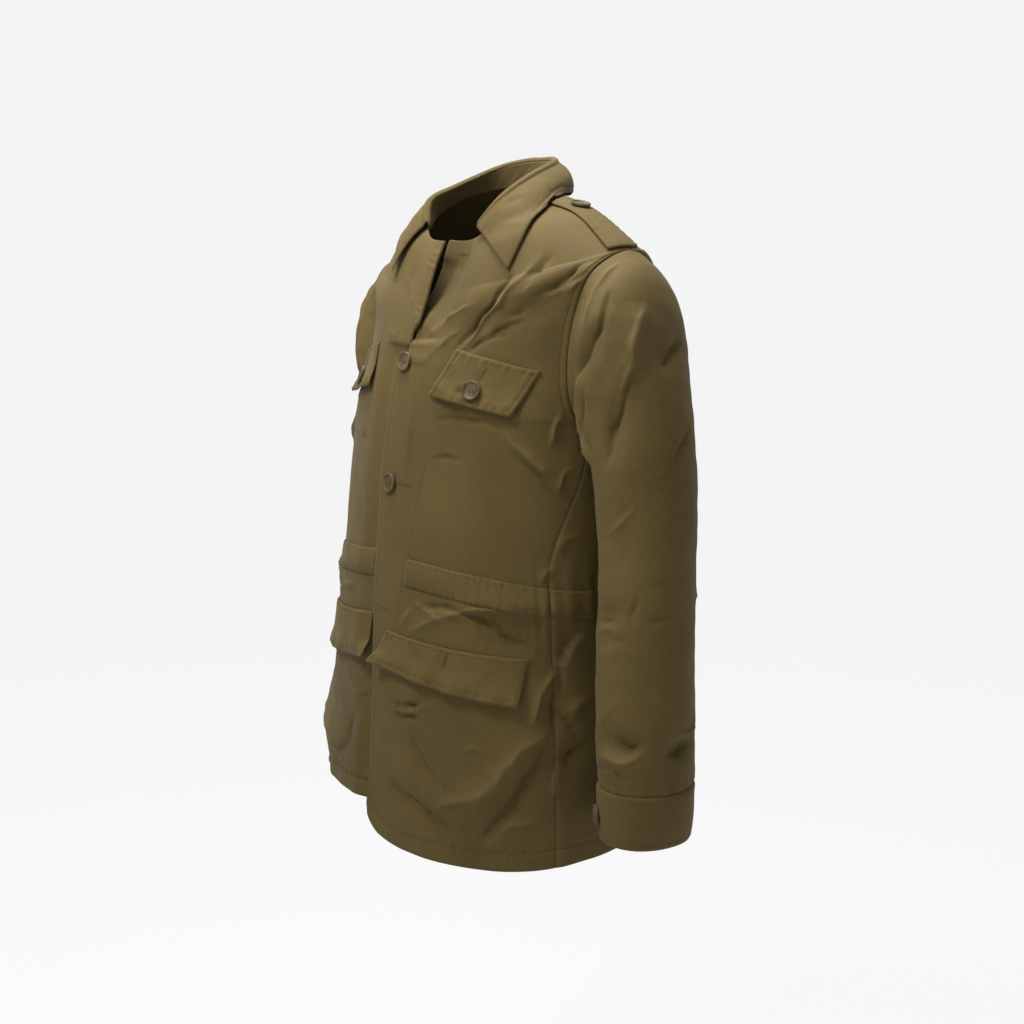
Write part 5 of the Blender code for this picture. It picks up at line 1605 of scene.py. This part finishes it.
# %% Shells
cloths = {**{name: (cloth, None) for name, cloth in body.items()}, **arms,
          **{name: (cloth, None) for name, cloth in layers.items()},
          "collar_stand": (stand_cloth, None), "collar_leaf": (leaf_cloth, None)}
shells = {name: cloth.build(cloth_look, inner) for name, (cloth, inner) in cloths.items()}
print("shells:", {name: len(made.data.polygons) for name, made in shells.items()})

# %% [markdown]
# ## Stitching
# Rows of stitches in the grooves: hem, front edges, armholes, flaps, channel, cuffs, straps, collar.

# %% Stitch rows
arm_rows = slice(LOW_STEPS + 2, LOW_STEPS + ARM_STEPS - 1)
sewing = {name: [] for name in cloths}
for name, cloth in body.items():
    sewing[name].append(cloth.along("low", HEM_ROW))
    if name != "back":
        edge, seam = ("start", "end") if name == "front_left" else ("end", "start")
        sewing[name].append(cloth.along(edge, EDGE_ROW, 4, -2))
        for off in ARMHOLE_ROWS:
            sewing[name].append(cloth.along(seam, off, arm_rows.start, arm_rows.stop))
        sewing[name].append(cloth.along(seam, 0.0040, 2, LOW_STEPS))
    else:
        for edge in ("start", "end"):
            for off in ARMHOLE_ROWS:
                sewing[name].append(cloth.along(edge, off, arm_rows.start, arm_rows.stop))
for side in ("left", "right"):
    cuff = arms["cuff_" + side][0]
    sewing["cuff_" + side] += [cuff.along(*row) for row in CUFF_ROWS]
for name, cloth in layers.items():
    if name.startswith("channel"):
        sewing[name] += [cloth.along(edge, CHANNEL_ROW) for edge in ("low", "high")]
    else:
        off = FLAP_ROW if name.startswith("flap") else STRAP_ROW
        rows, columns = cloth.base.shape[:2]
        inset = int(np.searchsorted(cloth.from_low[:, columns // 2], off))
        beside = int(np.searchsorted(cloth.from_start[rows // 2], off))
        sewing[name] += [cloth.along(edge, off, inset, rows - 1) for edge in ("start", "end")]
        sewing[name].append(cloth.along("low", off, beside, columns - beside))
        if name.startswith("flap"):
            sewing[name].append(cloth.along("high", 0.0040))
beside = int(np.searchsorted(leaf_cloth.from_start[-5], FLAP_ROW))
sewing["collar_leaf"] += [leaf_cloth.along(edge, FLAP_ROW, TURN_STEPS + 2, -3)
                          for edge in ("start", "end")]
sewing["collar_leaf"].append(leaf_cloth.along("high", FLAP_ROW, beside, -beside))
PLACKET = ((0.052, -0.129, -0.276), (0.044, -0.137, -0.330), (0.036, -0.146, -0.400),
           (0.029, -0.150, -0.440), (0.022, -0.153, -0.470))


def snapped(name, line, count=40):
    """A line laid on a finished front from ahead, with the outward direction at each point."""
    mesh = shells[name].data
    tree = BVHTree.FromPolygons([v.co for v in mesh.vertices], [p.vertices for p in mesh.polygons])
    points, ups = [], []
    for x, _, z in smooth_line(line, count):
        place, normal, _, _ = tree.ray_cast(Vector((x, -0.4, z)), Vector((0, 1, 0)))
        points.append(place)
        ups.append(normal)
    return np.array(points), np.array(ups)


sewing["front_left"].append(snapped("front_left", PLACKET, 60))
print("rows of stitches:", sum(len(lines) for lines in sewing.values()))

# %% Buttonholes
BAR_APART = 0.0011  # from the slit to the middle of each edge


def buttonhole(points, ups):
    """Two close rows of short stitches round a slit, and a bar across each of its ends."""
    ahead = unit(points[-1] - points[0])
    beside_it = unit(np.cross(ups, ahead))
    rows = [(points + beside_it * s * BAR_APART, ups) for s in (-1, 1)]
    bars = [(points[k] + beside_it[k] * np.linspace(-1.6, 1.6, 4)[:, None] * BAR_APART,
             np.repeat(ups[k][None], 4, 0)) for k in (0, -1)]
    return rows, bars


holes = {name: [] for name in cloths}
for (name, u, top, bottom) in FLAP_SLITS:
    cloth = layers["flap_" + name]
    wide, deep = FLAP_STEPS[0], FLAP_STEPS[1]
    i = np.linspace(1 - top, 1 - bottom, 10) * deep
    j = np.full(10, (u if name.endswith("left") else 1 - u) * wide)
    holes["flap_" + name] = [buttonhole(*cloth.line(i, j))]
for name, x0, z0, x1, z1 in BUTTONHOLES:
    slit = ((x0, 0, z0), ((x0 + x1) / 2, 0, (z0 + z1) / 2), (x1, 0, z1))
    holes[name].append(buttonhole(*snapped(name, slit, 12)))

stitched = {}
for name, lines in sewing.items():
    lines = [line for line in lines if len(line[0]) > 1]
    parts = [thread_rows(name + "_rows", lines, thread)] if lines else []
    for edges, bars in holes[name]:
        parts.append(thread_rows(name + "_edge", edges, thread, 0.0007, 0.0019, 0.0007, pi / 2))
        parts.append(thread_rows(name + "_bar", bars, thread, 0.0006, 0.0016, 0.0007, pi / 2))
    if parts:
        stitched[name] = joined("stitches_" + name, parts)

for name, made in shells.items():
    own = [stitched[name]] if name in stitched else []
    for piece in own:
        kept(piece)
    kept(made, [name], cloths[name][0])
print("stitched:", len(stitched), "pieces")

# %% [markdown]
# ## Buttons
# Each is turned from a profile, with four holes and two bars of thread, at its CAD node's place.
# The profile gives the rim and the dished middle, which a plain cylinder would lack.

# %% Turned buttons
BUTTON_PROFILE = (  # share of the radius, height
    (0.86, 0.0000), (0.97, 0.0006), (1.00, 0.0013), (1.00, 0.0023), (0.975, 0.0031), (0.92, 0.0036),
    (0.85, 0.0036), (0.79, 0.0031), (0.73, 0.0025), (0.62, 0.0022), (0.30, 0.0020),
)
TURNED_SIDES = 48
HOLE_RADIUS, HOLE_OFF = 0.0010, 0.0019
every_top = np.concatenate([cloth.outer().reshape(-1, 3) for cloth, _ in cloths.values()])
every_out = np.concatenate([cloth.normals.reshape(-1, 3) for cloth, _ in cloths.values()])
every_tree = tree_of(every_top)


def turned_button(node):
    corners = np.array([v.co for v in frame["nodes"][node].data.vertices])
    centre = corners.mean(0)
    axis = np.linalg.svd(corners - centre)[2][2]
    if axis @ every_out[every_tree.find(centre)[1]] < 0:
        axis = -axis
    low = ((corners - centre) @ axis).min()
    side = unit(np.cross(axis, np.array([0, 0, 1.0])))
    upwards = np.cross(side, axis)
    place = Matrix.Identity(4)
    for k, column in enumerate((side, upwards, axis, centre + axis * low)):
        place.col[k][:3] = column
    work = bmesh.new()
    rings = []
    for radius, height in BUTTON_PROFILE:
        ring = [work.verts.new((radius * BUTTON_RADIUS * cos(2 * pi * k / TURNED_SIDES),
                                radius * BUTTON_RADIUS * sin(2 * pi * k / TURNED_SIDES), height))
                for k in range(TURNED_SIDES)]
        rings.append(ring)
    for a, b in zip(rings, rings[1:]):
        for k in range(TURNED_SIDES):
            n = (k + 1) % TURNED_SIDES
            work.faces.new((a[k], a[n], b[n], b[k]))
    work.faces.new(rings[0][::-1])
    work.faces.new(rings[-1])
    bmesh.ops.recalc_face_normals(work, faces=work.faces)
    mesh = mesh_from(work, node)
    mesh.materials.append(horn)
    disc = placed("disc", mesh)
    drill = bmesh.new()
    for sx in (-1, 1):
        for sy in (-1, 1):
            at = Matrix.Translation((sx * HOLE_OFF, sy * HOLE_OFF, 0.0015))
            bmesh.ops.create_cone(drill, cap_ends=True, segments=14, radius1=HOLE_RADIUS,
                                  radius2=HOLE_RADIUS, depth=0.006, matrix=at)
    cutter = placed("drill", mesh_from(drill, "drill"))
    cut = disc.modifiers.new("holes", "BOOLEAN")
    cut.object, cut.operation, cut.solver = cutter, "DIFFERENCE", "EXACT"
    made = plain_mesh(disc, "turned_" + node)
    bpy.data.objects.remove(cutter)
    made.data.transform(place)
    made.data.materials.clear()
    made.data.materials.append(horn)
    for face in made.data.polygons:
        face.material_index = 0
    made.data.shade_smooth()
    made.data.set_sharp_from_angle(angle=radians(38))
    bars = bmesh.new()
    for sx in (-1, 1):
        at = Matrix.Translation((sx * HOLE_OFF, 0, 0.0021))
        at = at @ Matrix.Diagonal((0.0009, 0.0031, 0.0008, 1))
        bmesh.ops.create_uvsphere(bars, u_segments=12, v_segments=8, radius=1.0, matrix=place @ at)
    bar_mesh = mesh_from(bars, "shank_" + node)
    bar_mesh.materials.append(thread)
    bar_mesh.shade_smooth()
    sewn_on = placed("shank_" + node, bar_mesh)
    kept(sewn_on)
    return kept(made, [node])


for node in [name for name in frame["nodes"] if name.startswith("button_")]:
    turned_button(node)
print("buttons:", sum(name.startswith("button_") for name in frame["nodes"]))

# %% [markdown]
# ## Stage, light and camera
# A pale floor that gives out light of its own, so that it is as even as the photograph's ground, four
# soft lights, the key from the picture's left, and the photograph's view. A plain white floor under
# brighter lights is the usual way, but those lights fall on the cloth too.

# %% Stage
AZIMUTH, ELEVATION, DISTANCE = 50.0, 10.7, 1.9
a, e = radians(AZIMUTH), radians(ELEVATION)
to_right = Vector((cos(a), sin(a), 0))
towards = Vector((sin(a) * cos(e), -cos(a) * cos(e), sin(e)))
aim = to_right * 0.027 + Vector((0, 0, -0.362))
camera = placed("camera", bpy.data.cameras.new("camera"))
camera.data.lens = 57.4
camera.location = aim + towards * DISTANCE
camera.rotation_euler = towards.to_track_quat("Z", "Y").to_euler()
bpy.context.scene.camera = camera

FLOOR_Z = -1.30
floor_look = Graph("pale_floor").finish(Base_Color=(0.05, 0.05, 0.05, 1.0), Roughness=0.95,
                                         Emission_Color=(1.0, 1.0, 1.0, 1.0), Emission_Strength=0.87)
floor_mesh = bpy.data.meshes.new("floor")
floor_mesh.from_pydata([(-30, -30, FLOOR_Z), (30, -30, FLOOR_Z), (30, 30, FLOOR_Z), (-30, 30, FLOOR_Z)],
                       [], [(0, 1, 2, 3)])
floor_mesh.materials.append(floor_look)
floor = placed("floor", floor_mesh)
world = bpy.data.worlds.new("studio")
bpy.context.scene.world = world
world.use_nodes = True
sky = world.node_tree.nodes
direction = sky.new("ShaderNodeTexCoord")
split = sky.new("ShaderNodeSeparateXYZ")
fade = sky.new("ShaderNodeMapRange")
world.node_tree.links.new(direction.outputs["Generated"], split.inputs[0])
world.node_tree.links.new(split.outputs["Z"], fade.inputs["Value"])
for name, value in (("From Min", 0.14), ("From Max", 0.34), ("To Min", 0.90), ("To Max", 0.20)):
    fade.inputs[name].default_value = value
world.node_tree.links.new(fade.outputs[0], sky["Background"].inputs["Strength"])
sky["Background"].inputs["Color"].default_value = (1.0, 1.0, 1.0, 1.0)
LIGHTS = (
    # name, right, towards the camera, up from the aim in metres, size, power
    ("key", -1.0, 0.6, 1.55, 0.50, 38),
    ("fill", 1.6, 1.4, 0.9, 1.4, 2.5),
    ("top", -0.15, -0.15, 1.65, 0.7, 54),
    ("front", -0.5, 1.7, 1.15, 0.8, 7),
)
for name, right, front, height, size, power in LIGHTS:
    light = placed(name, bpy.data.lights.new(name, "AREA"))
    light.data.size, light.data.energy = size, power
    light.location = aim + to_right * right + towards * front + Vector((0, 0, height))
    light.rotation_euler = (light.location - aim).to_track_quat("Z", "Y").to_euler()
bpy.context.scene.view_settings.view_transform = "Standard"
print("camera at:", [round(v, 3) for v in camera.location])
